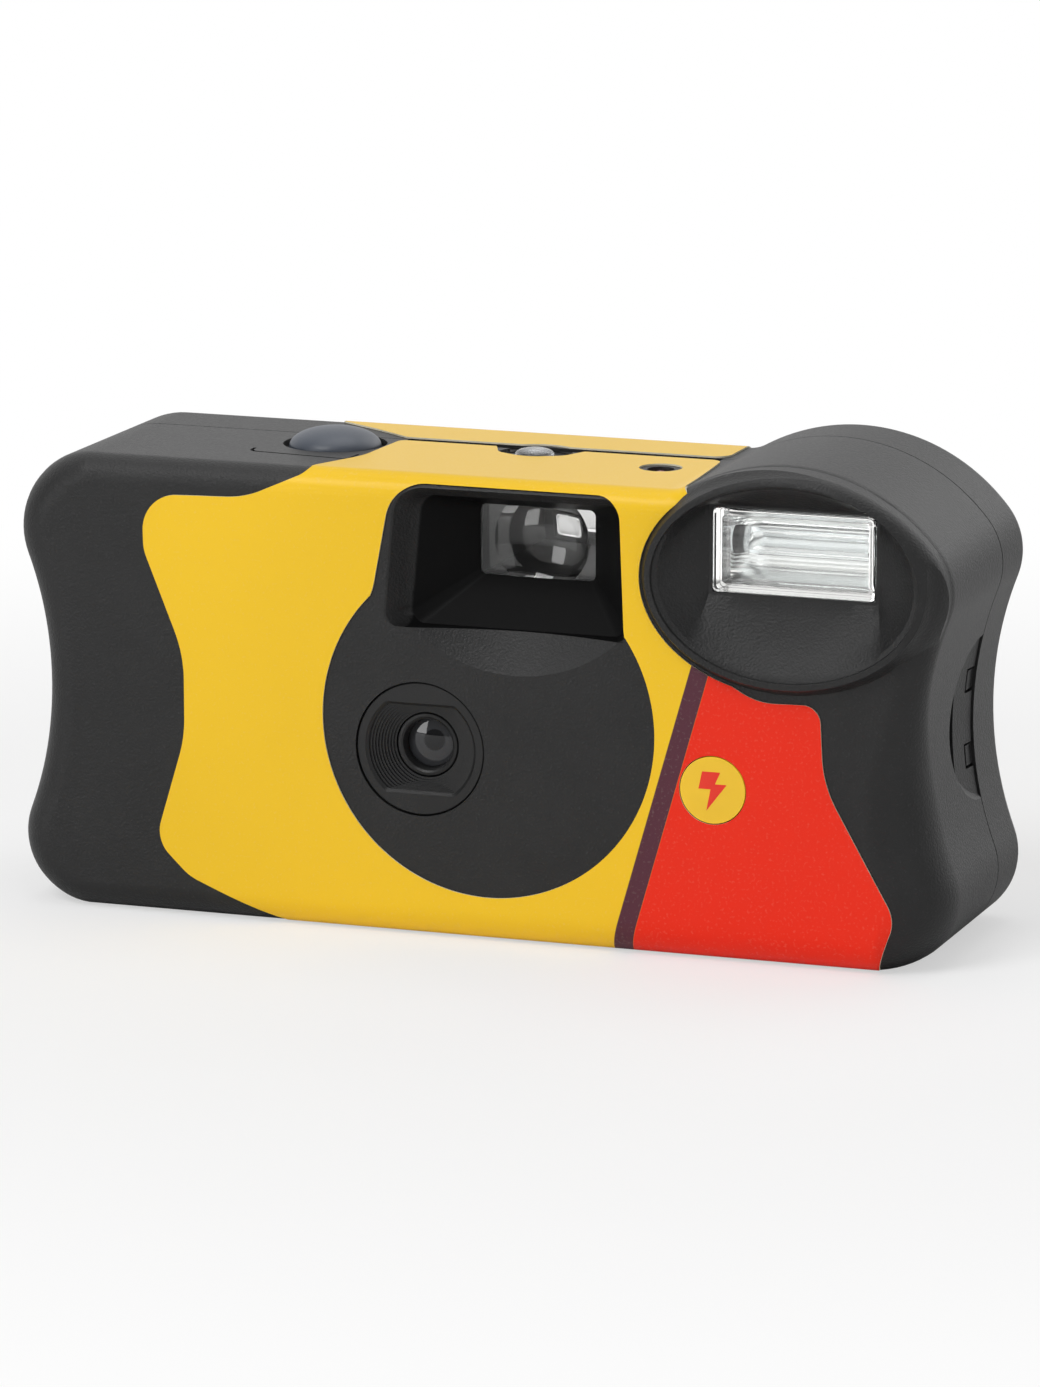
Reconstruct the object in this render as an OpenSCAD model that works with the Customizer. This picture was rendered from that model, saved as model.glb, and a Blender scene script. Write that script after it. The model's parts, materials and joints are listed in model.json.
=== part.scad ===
// Single-use flash film camera, as an assembly of separate pieces
// Millimetres, +Z up, the front faces -Y, origin at the middle of the base
// Set node to show one piece alone

/* [Body] */
// Overall width
body_w = 118; // [114:0.5:124]
// Height of the flat top
body_h = 56.2; // [56:0.1:60]
// Depth from front face to rear face
body_d = 35; // [34.5:0.5:38]
// Wall thickness of both covers
wall = 1.4; // [1.2:0.1:1.6]
// Depth of the rear cover
rear_depth = 11.5; // [10.5:0.5:12.5]
// Rounding of the front edge
front_edge = 2.4; // [1.2:0.1:3]
// Rounding of the rear edge
rear_edge = 3.2; // [2:0.1:4]
// Bottom corner radius
bottom_corner = 8.5; // [7:0.5:11]
// Top corner radius on the shutter side
top_corner = 9.7; // [8:0.1:11]
// Radius of the hollow waist on both sides
waist_r = 44; // [40:1:60]
// Gap shown at the parting line
parting_gap = 0.2; // [0.1:0.05:0.3]

/* [Flash head] */
// Middle of the flash head from the flash side
head_in = 20.5; // [19:0.1:23]
// Rise of the flash head over the flat top
head_rise = 3.7; // [3:0.1:5]
// Radius of the flash head's top
head_r = 24; // [21:0.5:28]
// Radius of the flash head's outer corner
head_corner = 8.5; // [8:0.5:12]
// Half width of the flash rim
rim_a = 17.3; // [16:0.1:18]
// Half height of the flash rim
rim_b = 12.6; // [11.8:0.1:13]
// Height of the rim over the front face
rim_rise = 1.9; // [1.5:0.1:2.5]
// Depth of the flash bowl below the rim
bowl_depth = 4.2; // [3.5:0.1:5]
// Width of the flash window
window_w = 19.9; // [18:0.1:22]
// Height of the flash window
window_h = 10; // [9:0.1:11]

/* [Lens] */
// Lens axis from the shutter side
lens_in = 52.8; // [51:0.1:55]
// Radius of the lens retainer
retainer_r = 8.1; // [7.6:0.1:8.6]
// Radius of the retainer's mouth
mouth_r = 6.7; // [6.2:0.1:6.9]
// Half height of the mouth, cut flat at top and bottom
mouth_half = 5.2; // [4.8:0.1:6]
// Radius of the taking lens
lens_r = 4.5; // [4.2:0.1:5]
// Depth of the lens face below the front face
lens_depth = 4.4; // [4.2:0.1:4.8]
// Radius of the aperture
aperture_r = 1.6; // [1:0.1:2]

/* [Viewfinder] */
// Middle of the viewfinder from the middle of the body
finder_x = 5.9; // [4.5:0.1:7]
// Width of the finder lens as seen in the hood
finder_w = 14.6; // [13:0.1:15]
// Height of the finder lens as seen in the hood
finder_h = 8.6; // [8:0.1:9]
// Depth of the hood
hood_depth = 8; // [7:0.1:8.5]
// Width of the hood's mouth
hood_w = 26.6; // [25:0.1:28]
// Width of the eyepiece opening
eye_w = 9; // [8:0.1:10]
// Height of the eyepiece opening
eye_h = 6.4; // [6:0.1:7]

/* [Controls] */
// Shutter button from the shutter side
button_in = 33.8; // [33:0.1:34.5]
// Shutter button behind the middle plane
button_y = -0.4; // [-1:0.1:0]
// Radius of the shutter button
button_r = 5.6; // [5.2:0.1:5.8]
// Travel of the shutter button
button_travel = 1.2; // [0.8:0.1:1.3]
// Flash button from the middle of the body
flash_button_x = 30.7; // [29.5:0.1:32]
// Flash button over the base
flash_button_z = 21.1; // [20:0.1:23]
// Radius of the flash button
flash_button_r = 4.05; // [3.6:0.05:4.4]
// Travel of the flash button
flash_travel = 0.7; // [0.4:0.1:0.8]
// Counter lens from the shutter side
counter_in = 60.3; // [60:0.1:60.6]
// Counter lens behind the middle plane
counter_y = 2.2; // [1.8:0.1:2.4]
// Radius of the counter lens
counter_r = 3; // [2.8:0.1:3.2]
// Ready lamp from the middle of the body
lamp_x = 19; // [18.5:0.1:19.5]
// Ready lamp behind the middle plane
lamp_y = -2.6; // [-3:0.1:-2]
// Radius of the ready lamp
lamp_r = 2; // [1.6:0.1:2.2]
// How far the thumbwheel stands out of the rear face
wheel_show = 0.8; // [0.4:0.1:0.9]
// Height of the thumbwheel's rim
wheel_h = 4.2; // [3.8:0.1:4.4]

/* [Film] */
// Radius of the film cartridge
cart_r = 12.5; // [12.3:0.05:12.6]
// Length of the film cartridge
cart_len = 43.4; // [43:0.1:43.8]
// Width of the film
film_w = 35; // [34.8:0.1:35]
// Thickness of the film as modelled
film_t = 0.2; // [0.14:0.02:0.3]
// Width of one picture
gate_w = 36; // [35:0.5:36.5]
// Height of one picture
gate_h = 24; // [23:0.5:24.5]
// Radius of the unexposed roll
roll_r = 9.4; // [8.5:0.1:9.6]
// Film plane in front of the rear cover's inner face
film_back = 4.9; // [4.6:0.1:5.2]

/* [Battery and flash unit] */
// Radius of the cell
cell_r = 7.25; // [7:0.05:7.3]
// Length of the cell with its nub
cell_len = 50.5; // [50:0.1:50.6]
// Radius of the flash capacitor
cap_r = 4.5; // [4:0.1:4.8]
// Length of the flash capacitor
cap_len = 32; // [28:0.5:34]
// Thickness of the circuit board
board_t = 1; // [0.8:0.1:1.2]

/* [Labels] */
// Thickness of the labels
label_t = 0.2; // [0.15:0.05:0.3]
// Radius of the round opening in the front label
keyhole_r = 21; // [20:0.1:21.5]

/* [Fits] */
// Running clearance of shafts and buttons
run = 0.1; // [0.06:0.01:0.12]
// Gap between seated pieces
seat = 0.1; // [0.05:0.01:0.12]

/* [Hidden] */
$fn = 48;
e = 0.01;

// Main planes
y_front = -body_d / 2;
y_rear = body_d / 2;
y_part = y_rear - rear_depth;
in_front = y_front + wall;
in_rear = y_rear - wall;
in_top = body_h - wall;
half_w = body_w / 2;

// Places measured from the two sides
head_x = half_w - head_in;
lens_x = lens_in - half_w;
button_x = button_in - half_w;
counter_x = counter_in - half_w;

// Film path, from the cartridge that stands on the floor and the cell under the lens
lens_z = wall + seat + max(cart_len / 2, 2 * cell_r + 7.2);
film_y = in_rear - film_back;
cart_x = -half_w + 6.5 + cart_r;
cart_y = film_y - 8.6;
supply_x = half_w - 23;
supply_y = film_y - 0.2 - roll_r;
frame_wall = 1;
cart_room = cart_r + 0.4;
roll_room = roll_r + 0.6;
film_top = lens_z + film_w / 2;
cart_top = lens_z + cart_len / 2;
// Shares of the head room over the cartridge, 1 at the standard height: the wheel gives way least
head_room = (in_top - cart_top) / 9.9;
wheel_part = 0.2 + 0.8 * head_room;
layer = (9.9 * head_room - 4.2 * wheel_part) / 5.7;
deck_z = cart_top + 0.3 * layer;
deck_t = layer;
deck_top = deck_z + deck_t;
chamber_top = film_top + 1.9;

// Thumbwheel and keeper over the deck
wheel_r = y_rear + wheel_show - cart_y;
wheel_z = deck_top + 0.8 * layer;
wheel_rim = wheel_h * wheel_part;
keeper_z = wheel_z + wheel_rim + 0.6 * layer;
keeper_t = 0.8 * layer;

// Shutter stack behind the lens, front to back
lens_y = y_front + lens_depth;
lens_t = 2;
cover_y = lens_y + lens_t + 0.2;
cover_t = 0.8;
blade_y = cover_y + cover_t + 0.4;
blade_t = 0.3;
plate_y = blade_y + blade_t + 0.4;
plate_t = 1;
blade_pivot = [lens_x - 4, lens_z + 9];

// Finder, in the room between the film and the top
view = (in_top - film_top) / 14.1;
view_h = finder_h * view;
finder_z = in_top - 2.8 * view - view_h / 2;
finder_y = y_front + hood_depth;
finder_t = 2.4;
tunnel_w = finder_w + 1.6;
tunnel_h = view_h + 1.2 * view;
tunnel_wall = 0.8 * view;
eye_z = finder_z;
eye_open = eye_h * view;
eye_y = in_rear - 2.6;

// Counter dial and sprocket
lid = min(layer, view);
dial_z = in_top - 1.3 * lid;
dial_t = 0.8 * lid;
dial_x = counter_x - 8.8;
dial_y = counter_y + 2.8;
dial_r = 9;
teeth = 8;
pitch = 4.75;
sprocket_r = teeth * pitch / 360 * 180 / PI;
sprocket_x = dial_x - 10.6;
sprocket_y = film_y - 0.15 - sprocket_r - 0.1;
sprocket_z = lens_z + 14.2;
shaft_r = 1.5;

// Release and energy levers
stem_x = button_x + button_r - 1.7;
stem_r = 1.2;
rocker_arm = 4.3;
rocker_x = stem_x + rocker_arm;
rocker_z = deck_top + 2.8 * layer;
rocker_t = 1.4 * layer;
rocker_y = button_y + 0.1;
lever_x = blade_pivot.x - 3.8;
lever_y = plate_y + 4.4;
lever_z = deck_top + 0.3 * layer;
finger_y = plate_y - 0.15;
tab_top = deck_z - 1.4;
hook_x = lens_x - 10.6;

// Flash window, reflector and rim
rim_x = head_x + 1.2;
rim_z = body_h + head_rise - 0.8 - rim_b;
bowl_y = y_front - rim_rise + bowl_depth;
window_x = rim_x;
flash_room = (body_h + head_rise - chamber_top) / 17.3;
win_h = window_h * flash_room;
window_z = chamber_top + 6.9 * flash_room;
window_t = 2.6;
flange_y = bowl_y + 1.2;
tube_y = flange_y + 6.4;

// Battery and board
cell_y = in_front + cell_r + 0.25;
cell_z = wall + cell_r + seat;
cell_x = cart_x + 14.2;
cell_end = cell_x + cell_len * (supply_x - cart_x - 25.5) / 50.5;
board_y = in_front + 2.9;
board_back = board_y + board_t;
board_x = half_w - 44.5;
board_z = cell_z + cell_r + 1.4;
board_w = 31.5;
board_h = window_z - win_h / 2 - 2.1 - board_z;
cap_x = board_x + board_w + 2.8;
cap_y = board_back + 3.3;
cap_z = board_z - 10.5;
cap_fit = cap_len * (window_z - win_h / 2 - cap_z - 5.6) / 32;

// Centres of the outline's arcs
c_bl = [-half_w + bottom_corner, bottom_corner];
c_br = [half_w - bottom_corner, bottom_corner];
c_tl = [-half_w + top_corner, body_h - top_corner];
c_head = [head_x, body_h + head_rise - head_r];
head_end = acos((half_w - head_corner - head_x) / (head_r - head_corner));
c_hr = c_head + (head_r - head_corner) * [cos(head_end), sin(head_end)];
dip_r = 5;
c_dip = [head_x - sqrt(pow(head_r + dip_r, 2) - pow(body_h + dip_r - c_head.y, 2)), body_h + dip_r];
c_wl = meet(c_bl, waist_r + bottom_corner, c_tl, waist_r + top_corner, 1);
c_wr = meet(c_br, waist_r + bottom_corner, c_hr, waist_r + head_corner, -1);
waist_x = c_wr.x - waist_r;

// Angle from one point to another
function ang(a, b) = atan2(b.y - a.y, b.x - a.x);
// Point at two distances from two points, on one side of their line
function meet(a, ra, b, rb, side) =
    let (d = norm(b - a), u = (b - a) / d, k = (d * d + ra * ra - rb * rb) / (2 * d))
    a + u * k + side * sqrt(ra * ra - k * k) * [-u.y, u.x];
function arc(c, r, a0, a1, n) =
    [for (i = [0:n]) c + r * [cos(a0 + (a1 - a0) * i / n), sin(a0 + (a1 - a0) * i / n)]];

// Front view of the body, moved inward by o, anticlockwise
function outline(o) = concat(
    arc(c_br, bottom_corner - o, -90, ang(c_br, c_wr), 10),
    tail(arc(c_wr, waist_r + o, 180 + ang(c_br, c_wr), 180 + ang(c_hr, c_wr), 10)),
    tail(arc(c_hr, head_corner - o, ang(c_hr, c_wr), head_end, 10)),
    tail(arc(c_head, head_r - o, head_end, ang(c_head, c_dip), 16)),
    tail(arc(c_dip, dip_r + o, ang(c_head, c_dip) - 180, -90, 4)),
    arc(c_tl, top_corner - o, 90, 360 + ang(c_tl, c_wl), 10),
    tail(arc(c_wl, waist_r + o, 180 + ang(c_tl, c_wl), ang(c_bl, c_wl) - 180, 10)),
    tail(arc(c_bl, bottom_corner - o, ang(c_bl, c_wl), 270, 10)));
function tail(v) = [for (i = [1:len(v) - 1]) v[i]];
function reverse(v) = [for (i = [len(v) - 1:-1:0]) v[i]];
function at_y(points, y) = [for (p = points) [p.x, y, p.y]];
function ellipse(cx, cz, a, b, n) =
    [for (i = [0:n - 1]) [cx + a * cos(360 * i / n), cz + b * sin(360 * i / n)]];

// Rounded polygon from corners [x, y, radius]
function unit(v) = v / norm(v);
function corner(a, b, c, r, n) = r <= 0 ? [b] :
    let (u = unit(a - b), v = unit(c - b), h = acos(u * v) / 2, o = b + unit(u + v) * r / sin(h),
        p = b + u * r / tan(h), q = b + v * r / tan(h), s = ang(o, p), t = ang(o, q) - s,
        w = t > 180 ? t - 360 : t < -180 ? t + 360 : t)
    [for (i = [0:n]) o + r * [cos(s + w * i / n), sin(s + w * i / n)]];
function xy(p) = [p.x, p.y];
function rounded(p, n = 6) = let (k = len(p))
    [for (i = [0:k - 1]) each corner(xy(p[(i + k - 1) % k]), xy(p[i]), xy(p[(i + 1) % k]), p[i][2], n)];
function rect(x, z, w, h, r) = rounded([[x - w / 2, z - h / 2, r], [x + w / 2, z - h / 2, r],
    [x + w / 2, z + h / 2, r], [x - w / 2, z + h / 2, r]], 4);

// Solid through layers of points with rising y
module loft(layers) {
    n = len(layers[0]);
    m = len(layers);
    polyhedron([for (l = layers) each l], concat(
        [[for (i = [n - 1:-1:0]) i]], [[for (i = [0:n - 1]) (m - 1) * n + i]],
        [for (k = [0:m - 2]) for (i = [0:n - 1]) let (j = (i + 1) % n)
            each [[k * n + i, k * n + j, k * n + n + j], [k * n + i, k * n + n + j, k * n + n + i]]]));
}
// Front-view shape given a depth
module along_y(y0, y1) {
    translate([0, y1, 0]) rotate([90, 0, 0]) linear_extrude(y1 - y0) children();
}
module along_x(x0, x1) {
    translate([x0, 0, 0]) rotate([90, 0, 90]) linear_extrude(x1 - x0) children();
}
module y_rod(x, z, r, y0, y1) {
    translate([x, y1, z]) rotate([90, 0, 0]) cylinder(r = r, h = y1 - y0);
}
module x_rod(y, z, r, x0, x1) {
    translate([x0, y, z]) rotate([0, 90, 0]) cylinder(r = r, h = x1 - x0);
}
module z_rod(x, y, r, z0, z1) {
    translate([x, y, z0]) cylinder(r = r, h = z1 - z0);
}
module box(x0, x1, y0, y1, z0, z1) {
    translate([x0, y0, z0]) cube([x1 - x0, y1 - y0, z1 - z0]);
}

// Edge rounding layers
function front_layers(o, r, y0, y1) = concat(
    [for (i = [0:5]) at_y(outline(o + r * (1 - sin(18 * i))), y0 + r * (1 - cos(18 * i)))],
    [at_y(outline(o), y1)]);
function rear_layers(o, r, y0, y1) = concat([at_y(outline(o), y0)],
    [for (i = [0:5]) at_y(outline(o + r * (1 - cos(18 * i))), y1 - r * (1 - sin(18 * i)))]);

// Mouth of the finder hood
function hood_mouth(grow) = rounded([
    [finder_x - hood_w / 2 - 0.9 - grow, lens_z + 14.8 - grow, 1.6],
    [finder_x + hood_w / 2 - 0.4 + grow, lens_z + 14.8 - grow, 1.6],
    [finder_x + hood_w / 2 - 0.8 + grow, body_h - 1.9 + grow * 0.9, 2],
    [finder_x - hood_w / 2 + 0.6 - grow, body_h - 1.9 + grow * 0.9, 3]], 5);
module hood_solid(grow, back) {
    hull() {
        along_y(y_front - e, y_front) polygon(hood_mouth(grow));
        along_y(back - e, back)
            polygon(rect(finder_x, finder_z, finder_w + 2 * grow, view_h + 2 * grow, 0.8));
    }
}
module bowl_solid(grow, back) {
    hull() {
        along_y(y_front - rim_rise - e, y_front - rim_rise)
            polygon(ellipse(rim_x, rim_z, rim_a - 1 + grow, rim_b - 1 + grow, 64));
        along_y(back - e, back)
            polygon(rect(window_x, window_z, window_w + 1 + 2 * grow, win_h + 0.8 + 2 * grow, 0.5));
    }
}
// Round well around the shutter button, with a shallow panel in front of it
module button_well() {
    z_rod(button_x, button_y, button_r + 1.5, body_h - 0.6, body_h + 2);
    translate([0, 0, body_h - 0.3]) linear_extrude(3)
        polygon(rounded([[button_x - 7.2, button_y - 8, 1.5], [button_x + 6.4, button_y - 8, 1.5],
            [button_x + 6.4, button_y + 7, 2], [button_x - 7.2, button_y + 7, 2]]));
}
// Two snap windows at the waist
module latches(gap, y0, y1) {
    for (z = [c_wr.y - 4.6, c_wr.y + 4.6])
        box(waist_x - wall - 3, half_w, y0, y1, z - 1.4 - gap, z + 1.4 + gap);
}

module front_cover() {
    color([0.13, 0.13, 0.14]) difference() {
        union() {
            loft(concat(front_layers(0, front_edge, y_front, y_part - parting_gap / 2),
                reverse(front_layers(wall, 0.8, in_front, y_part - parting_gap / 2))));
            intersection() {
                loft([at_y(ellipse(rim_x, rim_z, rim_a - 0.5, rim_b - 0.5, 64), y_front - rim_rise),
                    at_y(ellipse(rim_x, rim_z, rim_a, rim_b, 64), y_front - rim_rise + 0.35),
                    at_y(ellipse(rim_x + 0.1, rim_z - 0.3, rim_a + 0.9, rim_b + 0.6, 64), y_front),
                    at_y(ellipse(rim_x + 0.2, rim_z - 0.4, rim_a + 1.4, rim_b + 0.8, 64), in_front - 0.5),
                    at_y(ellipse(rim_x + 0.2, rim_z - 0.4, rim_a + 1.8, rim_b + 1, 64), bowl_y + 0.2)]);
                along_y(y_front - 5, y_part - 5) polygon(outline(0.1));
            }
            bowl_solid(1.2, flange_y);
            hood_solid(1, finder_y);
            for (p = [[board_x + 3, board_z + 3], [board_x + 3, board_z + board_h - 10],
                    [board_x + board_w - 4, board_z + board_h - 8]])
                y_rod(p.x, p.y, 1.4, in_front - 0.2, board_y);
        }
        bowl_solid(0, bowl_y);
        along_y(bowl_y - 1, flange_y + 1)
            polygon(rect(window_x, window_z, window_w + 2 * seat, win_h + 2 * seat, 0.4));
        hood_solid(0, finder_y + e);
        intersection() {
            translate([finder_x, y_front, lens_z + 14.8]) rotate([14, 0, 0])
                translate([0, 1.5, 14.4]) rotate([90, 0, 0]) cylinder(r = 19.4, h = 10);
            box(-half_w, half_w, y_front - 1, in_front - 0.3, 0, lens_z + 14.9);
        }
        y_rod(lens_x, lens_z, retainer_r + seat, y_front - 1, in_front + 1);
        y_rod(flash_button_x, flash_button_z, flash_button_r + run, y_front - 1, in_front + 1);
        button_well();
        z_rod(button_x, button_y, button_r + run, in_top - 2, body_h + 1);
        z_rod(counter_x, counter_y, counter_r + seat, in_top - 1, body_h + 1);
        z_rod(counter_x, counter_y, counter_r + 0.8, body_h - 0.5, body_h + 1);
        z_rod(lamp_x, lamp_y, lamp_r + 0.4, in_top - 1, body_h + 1);
        difference() {
            translate([waist_x - 1.2, y_part, c_wr.y]) rotate([0, 90, 0]) cylinder(r1 = 8, r2 = 13.2, h = 5.2);
            along_y(y_front, y_rear) polygon(outline(0.8));
        }
        latches(0.1, y_part - 2.4, y_part + 1);
    }
}

module rear_cover() {
    slot_h = wheel_rim + 1.2 * layer;
    color([0.13, 0.13, 0.14]) {
        difference() {
            loft(concat(reverse(rear_layers(wall, 1.2, y_part + parting_gap / 2, in_rear)),
                rear_layers(0, rear_edge, y_part + parting_gap / 2, y_rear)));
            button_well();
            along_y(in_rear - 2, y_rear + 1) polygon(rect(finder_x, eye_z, eye_w, eye_open, 1));
            along_y(in_rear - 2, y_rear + 1)
                polygon(rect(cart_x, wheel_z + wheel_rim / 2, 20, slot_h, 1));
        }
        // Ribs that hold the film on its plane
        for (s = [-1, 1])
            box(lens_x - gate_w / 2, lens_x + gate_w / 2 + 6, film_y + film_t + 0.25, in_rear + 0.2,
                lens_z + s * (gate_h / 2 + 3) - 0.6, lens_z + s * (gate_h / 2 + 3) + 0.6);
        // Snap hooks
        intersection() {
            difference() {
                along_y(y_part - 2.2, y_part + 2) polygon(outline(0.9));
                along_y(y_part - 5, y_part + 5) polygon(outline(wall + 0.3));
            }
            latches(-0.1, y_part - 2.2, y_part + 2);
        }
    }
}

// Moulded core: film chambers, exposure chamber, film gate, deck and finder tunnel
module main_frame() {
    gate_t = 1.1;
    plate_rear = film_y - 0.2;
    color([0.2, 0.2, 0.21]) difference() {
        union() {
            intersection() {
                union() {
                    z_rod(cart_x, cart_y, cart_room + frame_wall, wall + 0.1, deck_z + e);
                    z_rod(supply_x, supply_y, roll_room + frame_wall, wall + 0.1, chamber_top);
                }
                box(-half_w, half_w, y_front, plate_rear, 0, body_h);
            }
            box(cart_x, supply_x, plate_rear - gate_t, plate_rear, wall + 0.1, chamber_top);
            loft([at_y(rect(lens_x, lens_z, 9, 9, 0), plate_y + plate_t - e),
                at_y(rect(lens_x, lens_z, gate_w + 2, gate_h + 2, 0), plate_rear - gate_t + e)]);
            box(hook_x - 1.4, lens_x + 9.5, plate_y, plate_y + plate_t, cell_z + cell_r + 0.8, deck_z + e);
            y_rod(hook_x, blade_pivot.y - 8.5, 0.7, blade_y - 0.3, plate_y + e);
            // Deck and its ribs
            box(-half_w + 4.6, finder_x - tunnel_w / 2, plate_y, plate_rear, deck_z, deck_top);
            box(finder_x + tunnel_w / 2, lamp_x + 4, plate_y + 2, plate_rear, deck_z, deck_top);
            box(lamp_x - 3, lamp_x + 3, lamp_y, plate_rear, chamber_top - 1, deck_z + e);
            // Finder tunnel
            box(finder_x - tunnel_w / 2 - tunnel_wall, finder_x + tunnel_w / 2 + tunnel_wall,
                finder_y + 0.1, eye_y, finder_z - tunnel_h / 2 - tunnel_wall,
                finder_z + tunnel_h / 2 + tunnel_wall);
            // Posts of the counter dial and the energy lever, lower bearing of the sprocket
            z_rod(dial_x, dial_y, 2, deck_top - e, dial_z - 0.1);
            z_rod(dial_x, dial_y, 1, deck_top, dial_z + dial_t);
            z_rod(lever_x, lever_y, 1.2, deck_z - 3, lever_z + 2.2 * wheel_part);
            z_rod(sprocket_x, sprocket_y, 2.4, sprocket_z - 4, sprocket_z - 1.2);
            box(sprocket_x - 1.5, sprocket_x + 1.5, sprocket_y, plate_rear - e, sprocket_z - 4,
                sprocket_z - 1.2);
            // Lugs of the release lever
            for (s = [-1, 1])
                box(rocker_x - 1.2, rocker_x + 1.2, rocker_y + s * 1.7 - 0.5, rocker_y + s * 1.7 + 0.5,
                    deck_top - e, rocker_z + 1.6 * layer);
            // Pegs of the shutter cover and the shutter blade
            for (p = [[-8.6, -5.4], [8, -4], [8, 5]])
                y_rod(lens_x + p.x, lens_z + p.y, 1, cover_y + cover_t, plate_y + e);
            y_rod(blade_pivot.x, blade_pivot.y, 0.9, cover_y + cover_t, plate_y + e);
            // Web from the cartridge chamber to the exposure chamber
            box(cart_x + cart_room, lens_x - 10, cart_y + 1.9, cart_y + 3.1, lens_z - 10, lens_z + 10);
        }
        z_rod(cart_x, cart_y, cart_room, lens_z - cart_len / 2 - seat, deck_z);
        z_rod(supply_x, supply_y, roll_room, wall + 1.1, chamber_top + 1);
        z_rod(cart_x, cart_y, 6, deck_z - 1, deck_top + 1);
        box(cart_x, cart_x + cart_r + 1.6, film_y - 1.8, y_rear, 0, deck_z);
        loft([at_y(rect(lens_x, lens_z, 6, 6, 0), plate_y + plate_t - 0.2),
            at_y(rect(lens_x, lens_z, gate_w, gate_h, 0), plate_rear + e)]);
        y_rod(lens_x, lens_z, aperture_r, plate_y - 1, plate_y + 2);
        box(finder_x - finder_w / 2 - 0.3, finder_x + finder_w / 2 + 0.3, finder_y - 1, in_rear,
            finder_z - view_h / 2 - 0.1, finder_z + view_h / 2 + 0.1);
        box(finder_x - tunnel_w / 2, finder_x + tunnel_w / 2, finder_y - 1, finder_y + finder_t + 0.2,
            finder_z - tunnel_h / 2, finder_z + tunnel_h / 2);
        z_rod(sprocket_x, sprocket_y, shaft_r + 0.05, deck_z - 1, deck_top + 1);
        z_rod(sprocket_x, sprocket_y, 0.85, sprocket_z - 5, sprocket_z - 1);
        y_rod(rocker_x, rocker_z, 0.7 * layer + 0.05, rocker_y - 4, rocker_y + 4);
        // Slot of the energy lever's finger
        box(lever_x - 2, lever_x + 6, plate_y - 1, plate_y + 2.6, tab_top - 0.4, deck_top + 1);
        // Opening for the sprocket
        box(sprocket_x - 4.2, sprocket_x + 4.2, plate_rear - gate_t - 0.5, plate_rear + 1, sprocket_z - 1.15,
            sprocket_z + 1.3);
        // Lamp seat
        z_rod(lamp_x, lamp_y, lamp_r + 0.1, deck_top - 0.5, deck_top + 1);
    }
}

// Plate that holds the thumbwheel and the shafts down
module keeper_plate() {
    left = cart_x - 9;
    color([0.24, 0.24, 0.25]) difference() {
        union() {
            box(left, dial_x - 4.5, -6, 8, keeper_z, keeper_z + keeper_t);
            box(stem_x - 5.2, stem_x, plate_y + 0.2, -5.9, keeper_z, keeper_z + keeper_t);
            box(stem_x - 4.6, stem_x - 1.4, plate_y + 0.2, plate_y + 2.2, deck_top, keeper_z + e);
            box(stem_x - 2.6, stem_x, 7.9, film_y - 0.6, keeper_z, keeper_z + keeper_t);
            box(stem_x - 2.6, stem_x, film_y - 2.6, film_y - 0.6, deck_top, keeper_z + e);
            z_rod(cart_x, cart_y, 1.4, wheel_z + 1.2 * wheel_part, keeper_z + e);
        }
        z_rod(sprocket_x, sprocket_y, shaft_r + 0.05, keeper_z - 1, keeper_z + 2);
        z_rod(dial_x, dial_y, 2.6, keeper_z - 1, keeper_z + 2);
        box(stem_x - 2, stem_x + 2, button_y - 2, button_y + 2, keeper_z - 1, keeper_z + 2);
    }
}

// Front view of the front label with its openings
module front_label_shape() {
    l = -half_w;
    r = half_w;
    b = button_x;
    difference() {
        polygon(rounded([[b + 5, body_h + 1, 0], [b + 4.4, body_h - 0.4, 3], [b - 3.3, body_h - 3.8, 12],
            [l + 17.2, body_h - 4.2, 4.5], [l + 17.4, body_h - 11, 5], [l + 22.5, lens_z + 9.4, 16],
            [l + 22.5, lens_z - 0.8, 16], [l + 18.6, 9.4, 4], [l + 23, 5.2, 6], [l + 36.5, -0.3, 0],
            [r - 8.6, -0.3, 0], [r - 5.8, 7.2, 4], [r - 14.7, 22.8, 14], [r - 15.2, 32.2, 2.2],
            [rim_x - 3.6, 32, 8], [rim_x - 12.5, 37, 0], [rim_x - 8.5, body_h - 3, 0],
            [rim_x - 15.3, body_h - 0.4, 0], [rim_x - 15.5, body_h + 1, 0]]));
        translate([finder_x - 3.45, lens_z + 3.5]) circle(r = keyhole_r);
        polygon(rounded([[finder_x - 22.3, lens_z + 12.2, 2], [finder_x - 18.1, lens_z + 18.4, 8],
            [finder_x - 15.5, body_h - 0.8, 5], [finder_x + 13, body_h - 0.8, 3],
            [finder_x + 13.7, lens_z + 15, 10], [finder_x + 14.9, lens_z + 12, 2],
            [finder_x - 1.9, lens_z, 0]]));
        polygon(ellipse(rim_x + 0.1, rim_z - 0.3, rim_a + 1.1, rim_b + 0.8, 96));
        translate([flash_button_x, flash_button_z]) circle(r = flash_button_r + run);
    }
}
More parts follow.
